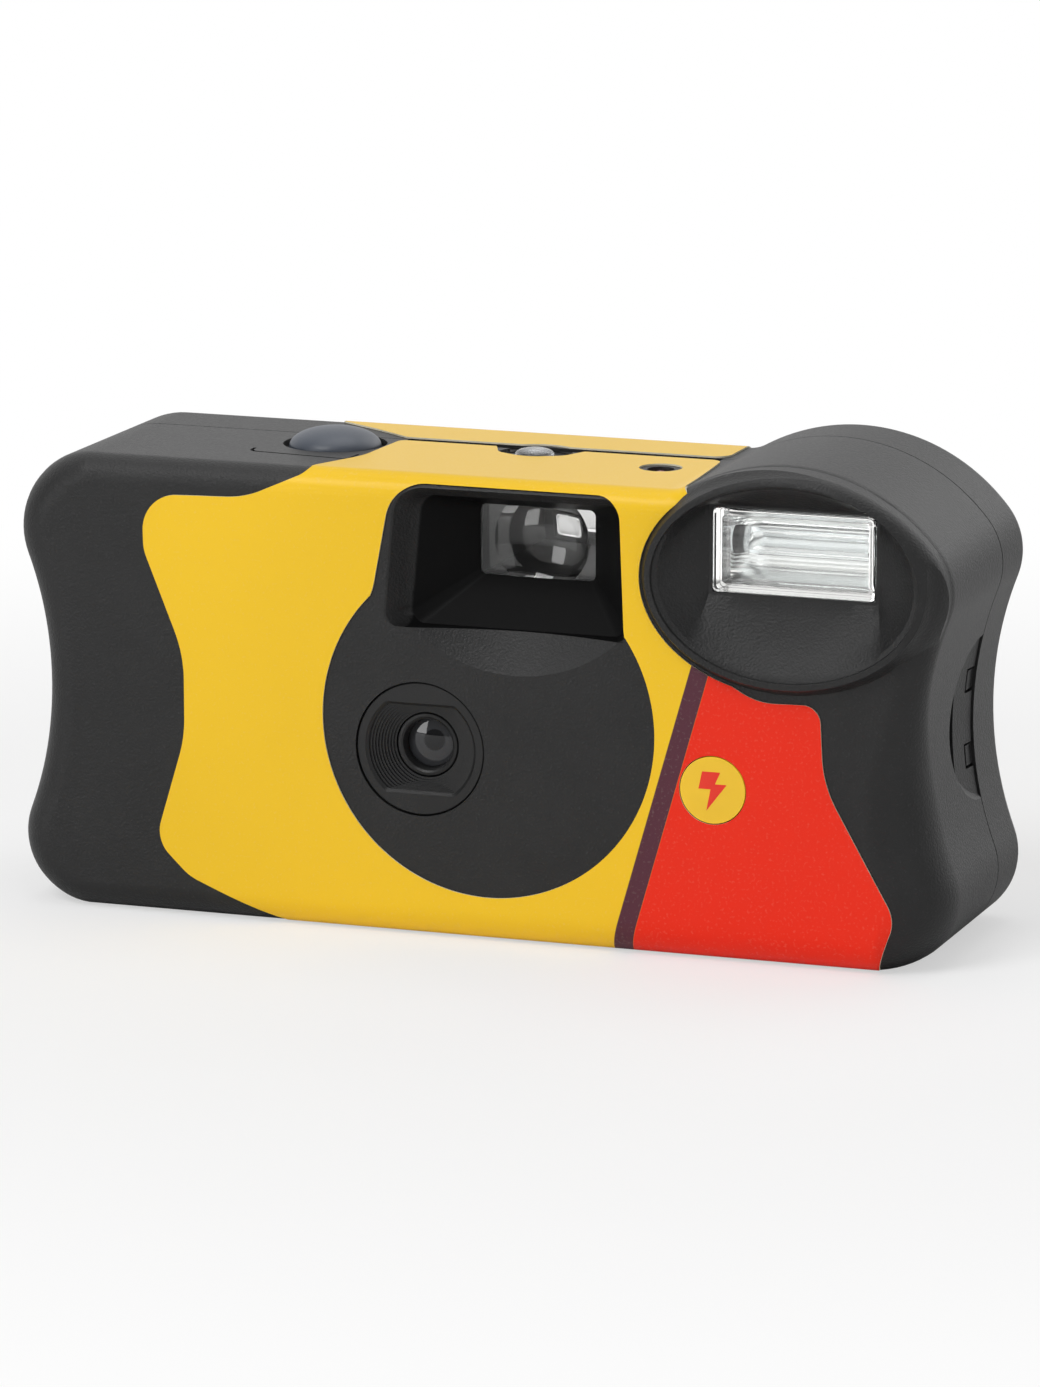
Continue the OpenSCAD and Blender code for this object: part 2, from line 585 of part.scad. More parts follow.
// Side view of the sheet: up the front, over the top fold, and around the bottom edge
module front_label_section() {
    r = front_edge;
    top = body_h - r;
    polygon(concat(
        arc([y_front + r, r], r + label_t, 235, 180, 8), arc([y_front + r, top], r + label_t, 180, 90, 10),
        [[y_part - 0.5, body_h + label_t], [y_part - 0.5, body_h]],
        arc([y_front + r, top], r, 90, 180, 10), arc([y_front + r, r], r, 180, 235, 8)));
}
module front_label() {
    color([0.93, 0.76, 0.16]) difference() {
        intersection() {
            along_x(-half_w, half_w) front_label_section();
            union() {
                along_y(y_front - 2, y_front + front_edge) front_label_shape();
                linear_extrude(body_h + 5) polygon(rounded([[button_x + 4.6, y_front + front_edge - e, 0],
                    [rim_x - 15.5, y_front + front_edge - e, 0], [rim_x - 15.5, y_part - 1, 1.5],
                    [button_x + 8.4, y_part - 1, 1], [button_x + 7.4, button_y - 5, 8]]));
            }
        }
        z_rod(button_x, button_y, button_r + 2.2, body_h - 1, body_h + 3);
        z_rod(counter_x, counter_y, counter_r + 1, body_h - 1, body_h + 3);
        z_rod(lamp_x, lamp_y, lamp_r + 0.6, body_h - 1, body_h + 3);
    }
}

module rear_label() {
    r = rear_edge;
    left = button_x - 2.8;
    right = rim_x - 15.5;
    color([0.93, 0.76, 0.16]) difference() {
        intersection() {
            along_x(-half_w, half_w) polygon(concat(
                [[y_part + 0.5, body_h], [y_part + 0.5, body_h + label_t]],
                arc([y_rear - r, body_h - r], r + label_t, 90, 0, 10), [[y_rear + label_t, 6], [y_rear, 6]],
                arc([y_rear - r, body_h - r], r, 0, 90, 10)));
            union() {
                along_y(y_rear - r - e, y_rear + 2) polygon(rounded([[left, 6, 3], [right, 6, 3],
                    [right, body_h + 2, 0], [left, body_h + 2, 0]]));
                linear_extrude(body_h + 5) polygon(rounded([[left, y_rear - r + e, 0],
                    [button_x + 3, button_y + 11, 6], [button_x + 8.4, y_part + 0.6, 0.8],
                    [right, y_part + 0.6, 2], [right, y_rear - r + e, 0]]));
            }
        }
        along_y(y_rear - 2, y_rear + 3) polygon(rect(finder_x, eye_z, eye_w + 2.4, eye_open + 2.4, 1.6));
        z_rod(button_x, button_y, button_r + 2.2, body_h - 1, body_h + 3);
        box(button_x - 8, button_x + 7.4, y_part - 1, button_y + 7.2, body_h - 1, body_h + 3);
    }
}

// Ring in front of the lens, its mouth cut flat above and below and stepped like a baffle
module lens_retainer() {
    back = lens_y - 0.2;
    front = y_front + 0.2;
    depth = back - front;
    steps = 6;
    color([0.1, 0.1, 0.11]) difference() {
        union() {
            y_rod(lens_x, lens_z, retainer_r, front, in_front);
            y_rod(lens_x, lens_z, retainer_r - 0.7, in_front - e, back);
        }
        intersection() {
            for (i = [0:steps - 1])
                y_rod(lens_x, lens_z, mouth_r - (mouth_r - lens_r + 0.8) * i / (steps - 1), front - 1,
                    front + depth * (i + 1) / steps + (i == steps - 1 ? 1 : 0));
            box(lens_x - 10, lens_x + 10, front - 2, back + 2, lens_z - mouth_half, lens_z + mouth_half);
        }
    }
}

module taking_lens() {
    color([0.75, 0.82, 0.88, 0.5]) intersection() {
        y_rod(lens_x, lens_z, lens_r, lens_y - 2, lens_y + lens_t);
        translate([lens_x, lens_y + 13.3, lens_z]) sphere(r = 14, $fn = 320);
        translate([lens_x, lens_y + lens_t - 20, lens_z]) sphere(r = 20, $fn = 320);
    }
}

// Light baffle that carries the lens and covers the blade
module shutter_cover() {
    color([0.16, 0.16, 0.17]) difference() {
        union() {
            box(lens_x - 9.5, lens_x + 9.5, cover_y, cover_y + cover_t, cell_z + cell_r + 0.8, lens_z + 10.6);
            y_rod(lens_x, lens_z, lens_r + 1, lens_y + 0.3, cover_y + e);
        }
        y_rod(lens_x, lens_z, lens_r + seat, lens_y - 1, cover_y - 0.15);
        y_rod(lens_x, lens_z, aperture_r + 1, cover_y - 1, cover_y + 2);
        y_rod(blade_pivot.x, blade_pivot.y, 0.7, cover_y - 1, cover_y + 0.5);
    }
}

module finder_lens() {
    color([0.8, 0.88, 0.92, 0.4]) difference() {
        box(finder_x - tunnel_w / 2 + seat, finder_x + tunnel_w / 2 - seat, finder_y + 0.15,
            finder_y + finder_t, finder_z - tunnel_h / 2 + seat, finder_z + tunnel_h / 2 - seat);
        translate([finder_x, finder_y + 10.6, finder_z]) sphere(r = 9.6, $fn = 96);
    }
}

module eyepiece_lens() {
    color([0.8, 0.88, 0.92, 0.4]) union() {
        along_y(in_rear - 1.2, in_rear + 0.6)
            polygon(rect(finder_x, eye_z, eye_w - 2 * seat, eye_open - 2 * seat, 1));
        box(finder_x - eye_w / 2 - 1, finder_x + eye_w / 2 + 1, in_rear - 1.4, in_rear - seat,
            eye_z - eye_open / 2 - 0.8, eye_z + eye_open / 2 + 0.8);
        intersection() {
            translate([finder_x, in_rear + 8.4, eye_z]) sphere(r = 10.6, $fn = 96);
            box(finder_x - eye_w / 2 + 0.2, finder_x + eye_w / 2 - 0.2, eye_y, in_rear - 1,
                eye_z - eye_open / 2 + 0.2, eye_z + eye_open / 2 - 0.2);
        }
    }
}

module counter_lens() {
    color([0.7, 0.74, 0.78, 0.5]) union() {
        z_rod(counter_x, counter_y, counter_r, in_top - 0.3 * lid, body_h - 0.2);
        intersection() {
            z_rod(counter_x, counter_y, counter_r, body_h - 0.4, body_h + 2);
            translate([counter_x, counter_y, body_h - 5.4]) sphere(r = 6.1, $fn = 96);
        }
    }
}

module ready_lamp() {
    color([0.75, 0.25, 0.15, 0.8]) union() {
        z_rod(lamp_x, lamp_y, lamp_r, deck_top - 0.4, body_h - 2.6);
        translate([lamp_x, lamp_y, body_h - 2.6]) sphere(r = lamp_r);
    }
}

module flash_window() {
    color([0.85, 0.9, 0.93, 0.4]) union() {
        along_y(bowl_y - 0.3, flange_y + 0.1)
            polygon(rect(window_x, window_z, window_w, win_h, 0.4));
        along_y(flange_y + 0.05, flange_y + 0.9)
            polygon(rect(window_x, window_z, window_w + 2, win_h + 1.6, 0.4));
    }
}

// Trough reflector: a parabola along the tube, closed at the ends
function parabola(s, y0, h, n) = [for (i = [-n:n]) [y0 + 8.2 * (1 - pow(i / n, 2)) * s, h / 2 * i / n]];
module flash_reflector() {
    y0 = flange_y + 1;
    w = window_w + 0.8;
    h = win_h + 0.4;
    color([0.85, 0.86, 0.88]) difference() {
        // The trough's corners follow the inside of the cover
        intersection() {
            translate([0, 0, window_z]) along_x(window_x - w / 2 - 0.5, window_x + w / 2 + 0.5)
                polygon(concat([[y0, h / 2 + 0.5], [y0, -h / 2 - 0.5]], parabola(1.08, y0 + 0.05, h + 1, 8)));
            along_y(y_front, y_rear) polygon(outline(wall + 0.1));
        }
        translate([0, 0, window_z]) along_x(window_x - w / 2, window_x + w / 2)
            polygon(concat([[y0 - 1, h / 2], [y0 - 1, -h / 2]], parabola(1, y0, h, 8)));
        x_rod(tube_y, window_z, 1.75, window_x - 20, window_x + 20);
    }
}

module flash_tube() {
    color([0.86, 0.9, 0.95, 0.6]) union() {
        x_rod(tube_y, window_z, 1.6, window_x - window_w / 2 - 1.6, window_x + window_w / 2 + 1.6);
        for (s = [-1, 1])
            translate([s * (window_w / 2 + 2.6), 0, 0])
                x_rod(tube_y, window_z, 0.5, window_x - 1.4, window_x + 1.4);
    }
}

module flash_board() {
    color([0.55, 0.42, 0.2]) difference() {
        along_y(board_y, board_back) polygon(rounded([[board_x, board_z, 1], [board_x + board_w, board_z, 1],
            [board_x + board_w, board_z + board_h - 4, 1], [board_x + 6, board_z + board_h - 4, 1],
            [board_x + 4, board_z + board_h - 7, 1], [board_x, board_z + board_h - 7, 1]], 4));
        y_rod(board_x + board_w - 8, board_z + 9, 0.6, board_y - 1, board_back + 1);
        y_rod(board_x + board_w - 8, board_z + 14, 0.6, board_y - 1, board_back + 1);
    }
}

module flash_capacitor() {
    color([0.12, 0.13, 0.2]) union() {
        z_rod(cap_x, cap_y, cap_r, cap_z, cap_z + cap_fit - 2.4);
        z_rod(cap_x, cap_y, cap_r - 0.35, cap_z + cap_fit - 2.5, cap_z + cap_fit - 1.6);
        z_rod(cap_x, cap_y, cap_r, cap_z + cap_fit - 1.7, cap_z + cap_fit);
        for (z = [cap_z + 0.375 * cap_fit, cap_z + 0.625 * cap_fit])
            box(cap_x - 6, cap_x - 1, board_back + 0.05, board_back + 0.6, z, z + 0.6);
    }
}

// Wound ferrite block on the board
module transformer() {
    x = board_x + 8.2;
    z = board_z + 6;
    color([0.35, 0.2, 0.12]) union() {
        box(x - 4, x + 4, board_back, board_back + 6.4, z - 3.6, z - 2.4);
        box(x - 4, x + 4, board_back, board_back + 6.4, z + 2.4, z + 3.6);
        box(x - 3.2, x + 3.2, board_back + 0.6, board_back + 5.8, z - 2.5, z + 2.5);
    }
}

module trigger_coil() {
    x = board_x + 9.5;
    z = board_z + 15.5;
    color([0.5, 0.3, 0.12]) union() {
        z_rod(x, board_back + 2.4, 2.3, z - 4, z + 4);
        for (s = [-1, 1])
            box(x - 2.3, x + 2.3, board_back, board_back + 2.4, z + s * 3.4 - 0.6, z + s * 3.4 + 0.6);
    }
}

// Leaf that the flash button presses on to the board
module charge_contact() {
    x = flash_button_x;
    z = flash_button_z;
    color([0.75, 0.68, 0.45]) union() {
        box(x - 2, x + 8, board_y - 0.75, board_y - 0.5, z - 1.6, z + 1.6);
        box(x + 6.5, x + 8, board_y - 0.6, board_y, z - 1.6, z + 1.6);
    }
}

// Leaf from the board to the shutter blade's path
module sync_contact() {
    y = plate_y - 0.9;
    color([0.75, 0.68, 0.45]) union() {
        box(lens_x + 3, board_x + 3, y, y + 0.25, board_z + 14, board_z + 16);
        box(board_x + 2.7, board_x + 3, board_back, y + 0.25, board_z + 14, board_z + 16);
        box(lens_x + 3, lens_x + 5, y, plate_y, board_z + 14, board_z + 16);
    }
}

module battery() {
    color([0.45, 0.47, 0.5]) union() {
        x_rod(cell_y, cell_z, cell_r, cell_x, cell_end - 1.3);
        x_rod(cell_y, cell_z, 2.7, cell_end - 1.4, cell_end);
        x_rod(cell_y, cell_z, cell_r - 1.6, cell_x - 0.1, cell_x + 0.1);
    }
}

// Contact strips: one at the nub, one at the flat end with its strip over the cell
module contact_positive() {
    x = cell_end + 0.05;
    color([0.72, 0.72, 0.7]) union() {
        box(x, x + 0.4, board_back, cell_y + 4, cell_z - 4, board_z - 0.5);
        box(x - 3, x + 0.4, board_back, board_back + 0.3, board_z - 1, board_z + 2);
    }
}
module contact_negative() {
    x = cell_x - 0.6;
    z = cell_z + cell_r + 0.15;
    color([0.72, 0.72, 0.7]) union() {
        box(x, x + 0.4, cell_y - 4, cell_y + 4, cell_z - 4, z + 0.3);
        box(x, board_x + 4, lens_y + 0.2, lens_y + 2, z, z + 0.3);
        box(board_x + 1, board_x + 4, board_back, board_back + 0.3, z, board_z + 2);
        box(board_x + 1, board_x + 4, board_back, lens_y + 2, z, z + 0.3);
        for (s = [-1, 1])
            box(x + 0.3, x + 0.46, cell_y + s * 2 - 0.6, cell_y + s * 2 + 0.6, cell_z - 2, cell_z + 2);
    }
}

// Steel shell with its tangent mouth for the film
module cartridge_shell() {
    z0 = lens_z - cart_len / 2 + 1.4;
    z1 = lens_z + cart_len / 2 - 1.4;
    lip = film_y + film_t / 2 - cart_y;
    color([0.16, 0.17, 0.19]) difference() {
        translate([cart_x, cart_y, z0]) union() {
            cylinder(r = cart_r - 0.35, h = z1 - z0);
            translate([0, lip - 1.6, 0]) cube([cart_r + 1.2, 3.2, z1 - z0]);
        }
        z_rod(cart_x, cart_y, cart_r - 0.8, z0 - 1, z1 + 1);
        box(cart_x, cart_x + 20, film_y - 0.25, film_y + film_t + 0.25, z0 - 1, z1 + 1);
    }
}
module cartridge_caps() {
    color([0.2, 0.2, 0.22]) for (s = [-1, 1])
        translate([cart_x, cart_y, lens_z + s * (cart_len / 2 - 0.6)]) difference() {
            union() {
                cylinder(r = cart_r, h = 1.2, center = true);
                translate([0, 0, -s * 0.65]) cylinder(r = cart_r - 1.0, h = 1, center = true);
            }
            cylinder(r = 5.6, h = 5, center = true);
        }
}
// Spool of the cartridge, its upper end turned by the thumbwheel
module cartridge_spool() {
    z0 = lens_z - cart_len / 2;
    z1 = lens_z + cart_len / 2;
    color([0.1, 0.1, 0.11]) difference() {
        union() {
            z_rod(cart_x, cart_y, 4.2, z0 + 2, z1 - 2);
            z_rod(cart_x, cart_y, 5.4, z0 + 0.2, z0 + 2.6);
            z_rod(cart_x, cart_y, 5.4, z1 - 2.6, z1 - 0.1);
        }
        z_rod(cart_x, cart_y, 3.6, z1 - 5, z1 + 1);
    }
    color([0.1, 0.1, 0.11]) box(cart_x - 3.7, cart_x + 3.7, cart_y - 0.6, cart_y + 0.6, z1 - 5.5, z1 - 3);
}

// Film between the cartridge and the roll, with its perforations
module film_strip() {
    x0 = cart_x + 1;
    x1 = supply_x;
    count = floor((x1 - x0 - 4) / pitch);
    color([0.32, 0.2, 0.16]) along_y(film_y, film_y + film_t) difference() {
        translate([x0, lens_z - film_w / 2]) square([x1 - x0, film_w]);
        for (i = [0:count - 1])
            for (s = [-1, 1])
                translate([x0 + 2.4 + i * pitch, lens_z + s * 14.2 - 1.4]) square([2, 2.8]);
    }
}
module film_roll() {
    color([0.32, 0.2, 0.16]) difference() {
        z_rod(supply_x, supply_y, roll_r, lens_z - film_w / 2, lens_z + film_w / 2);
        z_rod(supply_x, supply_y, 5, 0, body_h);
    }
}
module supply_spool() {
    z0 = lens_z - film_w / 2;
    z1 = lens_z + film_w / 2;
    color([0.15, 0.15, 0.16]) difference() {
        union() {
            z_rod(supply_x, supply_y, 4.95, wall + 1.3, z1 + 0.2);
            z_rod(supply_x, supply_y, roll_r, wall + 1.3, wall + 2.4);
            z_rod(supply_x, supply_y, roll_r, z1 + 0.2, z1 + 1.2);
            z_rod(supply_x, supply_y, 7, wall + 2.3, z0);
        }
        for (a = [0:60:179])
            translate([supply_x, supply_y, z1 + 2]) rotate([0, 0, a]) cube([7, 1.6, 8], center = true);
    }
}

// Star-shaped rim, so many ribs of a given depth
function ribs(r, n, d) = [for (i = [0:n - 1]) each [r * [cos(360 * i / n), sin(360 * i / n)],
    r * [cos(360 * (i + 0.4) / n), sin(360 * (i + 0.4) / n)],
    (r - d) * [cos(360 * (i + 0.55) / n), sin(360 * (i + 0.55) / n)],
    (r - d) * [cos(360 * (i + 0.85) / n), sin(360 * (i + 0.85) / n)]]];
module thumbwheel() {
    color([0.14, 0.14, 0.15]) translate([cart_x, cart_y, 0]) difference() {
        union() {
            translate([0, 0, wheel_z]) linear_extrude(wheel_rim) polygon(ribs(wheel_r, 60, 0.6));
            translate([0, 0, deck_z - 4]) cylinder(r = 3.4, h = wheel_z - deck_z + 4 + 0.5 * layer);
        }
        translate([0, 0, wheel_z + 1.1 * wheel_part]) cylinder(r = 1.4 + run, h = wheel_rim);
        translate([0, 0, wheel_z + 1.6 * wheel_part]) difference() {
            cylinder(r = wheel_r - 2.4, h = wheel_rim);
            translate([0, 0, -1]) cylinder(r = 3.4, h = wheel_rim + 2);
        }
        translate([-5, -0.75, deck_z - 5]) cube([10, 1.5, 2.9]);
    }
}

module sprocket() {
    color([0.85, 0.85, 0.82]) translate([sprocket_x, sprocket_y, 0]) union() {
        translate([0, 0, sprocket_z - 1]) cylinder(r = sprocket_r - 0.9, h = 2);
        for (i = [0:teeth - 1])
            rotate([0, 0, 360 * i / teeth + 22.5]) translate([sprocket_r - 1.2, -0.7, sprocket_z - 0.8])
                cube([1.2, 1.4, 1.6]);
        translate([0, 0, sprocket_z]) cylinder(r = shaft_r, h = dial_z - 0.2 - sprocket_z);
        translate([0, 0, sprocket_z - 3.6]) cylinder(r = 0.8, h = 4);
        translate([0, 0, dial_z - 0.3]) cylinder(r = 0.9, h = dial_t + 0.2);
        translate([0.2, -0.35, dial_z - 0.3]) cube([1.15, 0.7, dial_t + 0.2]);
    }
}
module counter_dial() {
    color([0.9, 0.9, 0.88]) translate([dial_x, dial_y, dial_z]) difference() {
        linear_extrude(dial_t) polygon(ribs(dial_r, 40, 0.6));
        translate([0, 0, -1]) cylinder(r = 1 + run, h = 3);
    }
}

module shutter_button() {
    top = body_h + button_travel + 0.9;
    foot = rocker_z + rocker_t / 2 + 0.15 * layer;
    color([0.28, 0.32, 0.38]) union() {
        intersection() {
            z_rod(button_x, button_y, button_r, in_top - 0.6, top + 1);
            translate([button_x, button_y, top - 12]) sphere(r = 12, $fn = 96);
        }
        z_rod(button_x, button_y, button_r + 0.8, in_top - 0.75, in_top - 0.15);
        z_rod(stem_x, button_y, stem_r, foot + 0.4 * layer, in_top - 0.3);
        z_rod(stem_x, button_y, 0.4, foot, foot + 0.5 * layer);
    }
}
module release_lever() {
    color([0.7, 0.7, 0.66]) union() {
        box(stem_x - 1.5, rocker_x + rocker_arm, rocker_y - 1, rocker_y + 1,
            rocker_z - rocker_t / 2, rocker_z + rocker_t / 2);
        translate([rocker_x, rocker_y + 2.2, rocker_z]) rotate([90, 0, 0]) cylinder(r = 0.7 * layer, h = 4.4);
    }
}
module energy_lever() {
    color([0.75, 0.75, 0.7]) difference() {
        union() {
            z_rod(lever_x, lever_y, 2.4, lever_z, lever_z + 1.6 * wheel_part);
            box(lever_x - 1, lever_x + 1, finger_y - 1.05, lever_y, lever_z, lever_z + 1.2 * wheel_part);
            box(lever_x - 1, lever_x + 1, finger_y - 1.05, finger_y, tab_top + 0.3,
                lever_z + 1.2 * wheel_part);
        }
        z_rod(lever_x, lever_y, 1.2 + 0.05, lever_z - 1, lever_z + 3);
    }
}

// Coil of round wire about +Z
module coil(r, wire, turns, h, steps, sides) {
    n = turns * steps;
    loft_tube([for (i = [0:n]) let (a = 360 * i / steps)
        [for (k = [0:sides - 1]) let (b = 360 * k / sides)
            [(r + wire * cos(b)) * cos(a), (r + wire * cos(b)) * sin(a), h * i / n + wire * sin(b)]]]);
}
module loft_tube(rings) {
    n = len(rings[0]);
    m = len(rings);
    polyhedron([for (l = rings) each l], concat(
        [[for (i = [0:n - 1]) i]], [[for (i = [n - 1:-1:0]) (m - 1) * n + i]],
        [for (k = [0:m - 2]) for (i = [0:n - 1]) let (j = (i + 1) % n)
            each [[k * n + i, k * n + n + i, k * n + n + j], [k * n + i, k * n + n + j, k * n + j]]]));
}
module lever_spring() {
    color([0.8, 0.8, 0.8]) translate([lever_x, lever_y, deck_z - 2.6]) coil(1.65, 0.22, 4, 2, 16, 6);
}

// Blade over the aperture, with the tab that the energy lever strikes
module shutter_blade() {
    p = blade_pivot;
    tab = [lever_x + 1.6, tab_top - 0.1];
    color([0.3, 0.3, 0.32]) difference() {
        along_y(blade_y, blade_y + blade_t) union() {
            translate([lens_x, lens_z]) circle(r = aperture_r + 1.6);
            translate(p) circle(r = 2);
            strip(p, [lens_x, lens_z], 2.4);
            strip(p, tab, 1.6);
            strip(p, [hook_x - 0.7, p.y], 1.4);
        }
        y_rod(p.x, p.y, 0.9 + run, blade_y - 1, blade_y + 1);
    }
}
// Flat bar between two points
module strip(a, b, w) {
    translate(a) rotate([0, 0, ang(a, b)]) translate([0, -w / 2]) square([norm(b - a), w]);
}
module blade_spring() {
    color([0.8, 0.8, 0.8]) translate([hook_x, blade_y + blade_t / 2, blade_pivot.y - 7.6])
        coil(0.5, 0.12, 9, 6.6, 10, 5);
}

module flash_button() {
    front = y_front - label_t;
    color([0.93, 0.76, 0.16]) union() {
        y_rod(flash_button_x, flash_button_z, flash_button_r, front, in_front + 0.4);
        y_rod(flash_button_x, flash_button_z, flash_button_r + 0.8, in_front + 0.1, in_front + 0.7);
        y_rod(flash_button_x, flash_button_z, 1.4, in_front + 0.4, board_y - 0.8 - flash_travel);
    }
}

front_cover();
rear_cover();
main_frame();
keeper_plate();
front_label();
rear_label();
lens_retainer();
taking_lens();
shutter_cover();
finder_lens();
eyepiece_lens();
counter_lens();
ready_lamp();
flash_window();
flash_reflector();
flash_tube();
flash_board();
flash_capacitor();
transformer();
trigger_coil();
charge_contact();
sync_contact();
battery();
contact_positive();
contact_negative();
cartridge_shell();
cartridge_caps();
cartridge_spool();
film_strip();
film_roll();
supply_spool();
thumbwheel();
sprocket();
counter_dial();
shutter_button();
release_lever();
energy_lever();
lever_spring();
shutter_blade();
blade_spring();
flash_button();
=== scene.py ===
"""A single-use flash film camera, dressed on the frame of its solids."""

import json
import math

import bmesh
import bpy
from bpy.props import FloatProperty, FloatVectorProperty, PointerProperty
from bpy.types import Operator, Panel, PropertyGroup
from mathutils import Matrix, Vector


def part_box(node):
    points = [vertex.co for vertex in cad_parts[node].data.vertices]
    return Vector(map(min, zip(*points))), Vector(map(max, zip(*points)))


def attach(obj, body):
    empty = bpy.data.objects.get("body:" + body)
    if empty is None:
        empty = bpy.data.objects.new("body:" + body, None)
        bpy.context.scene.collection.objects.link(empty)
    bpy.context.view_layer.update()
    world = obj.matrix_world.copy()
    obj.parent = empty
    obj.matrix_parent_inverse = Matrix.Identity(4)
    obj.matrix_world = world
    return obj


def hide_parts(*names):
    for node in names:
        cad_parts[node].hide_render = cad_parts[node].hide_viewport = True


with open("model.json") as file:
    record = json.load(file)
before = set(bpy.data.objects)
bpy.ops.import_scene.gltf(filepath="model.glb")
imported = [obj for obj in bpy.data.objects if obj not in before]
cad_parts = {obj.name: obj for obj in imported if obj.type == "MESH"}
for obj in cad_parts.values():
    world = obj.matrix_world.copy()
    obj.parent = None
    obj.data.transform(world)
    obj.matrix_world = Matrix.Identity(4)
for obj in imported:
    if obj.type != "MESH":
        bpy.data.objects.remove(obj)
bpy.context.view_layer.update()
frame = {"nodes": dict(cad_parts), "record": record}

bl_info = {
    "name": "Single-use flash camera",
    "version": (1, 0, 0),
    "blender": (4, 5, 0),
    "location": "View3D > Sidebar > Camera",
    "description": "Builds the covers, labels, lenses and controls of a single-use flash camera",
    "category": "Object",
}

MM = 0.001
# Distance in millimetres at which doubled points merge
WELD = 0.002
BODY_OF = {
    node: body
    for body, nodes in frame["record"]["behaviour"]["bodies"].items()
    for node in nodes
}


def size(label, default_mm, text):
    """A length that a user may change, held in metres."""
    return FloatProperty(name=label, description=text, default=default_mm * MM, unit="LENGTH", precision=5)


def colour(label, red, green, blue, text):
    """A colour that a user may change, as linear light."""
    return FloatVectorProperty(
        name=label, description=text, default=(red, green, blue), subtype="COLOR", min=0.0, max=1.0
    )


class CameraSizes(PropertyGroup):
    """Sizes of the dressed camera."""

    front_edge: size("Front edge", 2.4, "Rounding of the front edge of the covers")
    side_edge: size("Side edge", 7.4, "Softest rounding of the front edge, down the flash side")
    rear_edge: size("Rear edge", 3.2, "Rounding of the rear edge of the covers")
    wall: size("Wall", 1.4, "Wall thickness of the covers")
    rim_round: size("Rim rounding", 0.5, "Rounding of the flash rim's crest")
    hood_lip: size("Hood lip", 2.4, "Width of the rounded lip round the finder hood")
    edge_break: size("Edge break", 0.14, "Small rounding on the moulded edges")
    label_sheet: size("Label thickness", 0.2, "Thickness of the printed labels")


class CameraColours(PropertyGroup):
    """Colours of the dressed camera."""

    plastic: colour("Black plastic", 0.0105, 0.0105, 0.0107, "Matt black covers")
    yellow: colour("Label yellow", 0.885, 0.55, 0.018, "Main colour of the labels")
    red: colour("Label red", 0.8, 0.023, 0.005, "Second colour of the labels")
    plum: colour("Label plum", 0.093, 0.027, 0.042, "Band between the two colours")
    paper: colour("Paper core", 0.86, 0.8, 0.62, "Cut edge of the labels")
    button: colour("Shutter button", 0.06, 0.071, 0.092, "Blue-grey shutter button")
    lamp: colour("Ready lamp", 0.45, 0.07, 0.04, "Flash ready lamp")


# Shape helpers, all in millimetres


def ang(a, b):
    """Angle from one point to another."""
    return math.degrees(math.atan2(b[1] - a[1], b[0] - a[0]))


def meet(a, ra, b, rb, side):
    """Point at two distances from two points, on one side of their line."""
    d = math.hypot(b[0] - a[0], b[1] - a[1])
    u = ((b[0] - a[0]) / d, (b[1] - a[1]) / d)
    k = (d * d + ra * ra - rb * rb) / (2 * d)
    h = side * math.sqrt(ra * ra - k * k)
    return (a[0] + u[0] * k - u[1] * h, a[1] + u[1] * k + u[0] * h)


def arc(c, r, a0, a1, n):
    """Points of an arc from one angle to another."""
    step = (a1 - a0) / n
    return [
        (c[0] + r * math.cos(math.radians(a0 + step * i)), c[1] + r * math.sin(math.radians(a0 + step * i)))
        for i in range(n + 1)
    ]


def ellipse(cx, cz, a, b, n):
    """Points of an ellipse."""
    turn = 2 * math.pi / n
    return [(cx + a * math.cos(turn * i), cz + b * math.sin(turn * i)) for i in range(n)]


def circle(centre, r, n):
    """Points of a circle."""
    return ellipse(*centre, r, r, n)


def rounded(corners, n=10):
    """Polygon from corners (x, z, radius)."""
    points = []
    k = len(corners)
    for i, (x, z, r) in enumerate(corners):
        b = Vector((x, z))
        if r <= 0:
            points.append((x, z))
            continue
        u = (Vector(corners[i - 1][:2]) - b).normalized()
        v = (Vector(corners[(i + 1) % k][:2]) - b).normalized()
        half = math.acos(max(-1.0, min(1.0, u.dot(v)))) / 2
        o = b + (u + v).normalized() * (r / math.sin(half))
        s = ang(o, b + u * (r / math.tan(half)))
        t = ang(o, b + v * (r / math.tan(half))) - s
        t = t - 360 if t > 180 else t + 360 if t < -180 else t
        points += arc(o, r, s, s + t, n)
    return points


def rect(x, z, w, h, r, n=8):
    """Rounded rectangle."""
    return rounded([(x + w / 2 * i, z + h / 2 * k, r) for i, k in ((-1, -1), (1, -1), (1, 1), (-1, 1))], n)


def at_y(points, y):
    """Front-view points at one depth."""
    return [(p[0], y, p[1]) for p in points]


def at_z(points, z):
    """Top-view points at one height."""
    return [(p[0], p[1], z) for p in points]


# Main planes and places, as the solids have them
HALF_W, BODY_H = 59.0, 56.2
Y_FRONT, Y_REAR, Y_PART, GAP = -17.5, 17.5, 6.0, 0.2
LENS = (-6.2, 23.2)
FINDER = (5.9, 47.7)
RIM, RIM_A, RIM_B, RIM_Y = (39.7, 46.5), 17.3, 12.6, -19.4
WINDOW, WINDOW_W, WINDOW_H = (39.7, 49.5), 19.9, 10.0
BOWL_Y, FLANGE_Y, FINDER_Y = -15.2, -14.0, -9.5
BUTTON, BUTTON_R = (-25.2, -0.4), 5.6
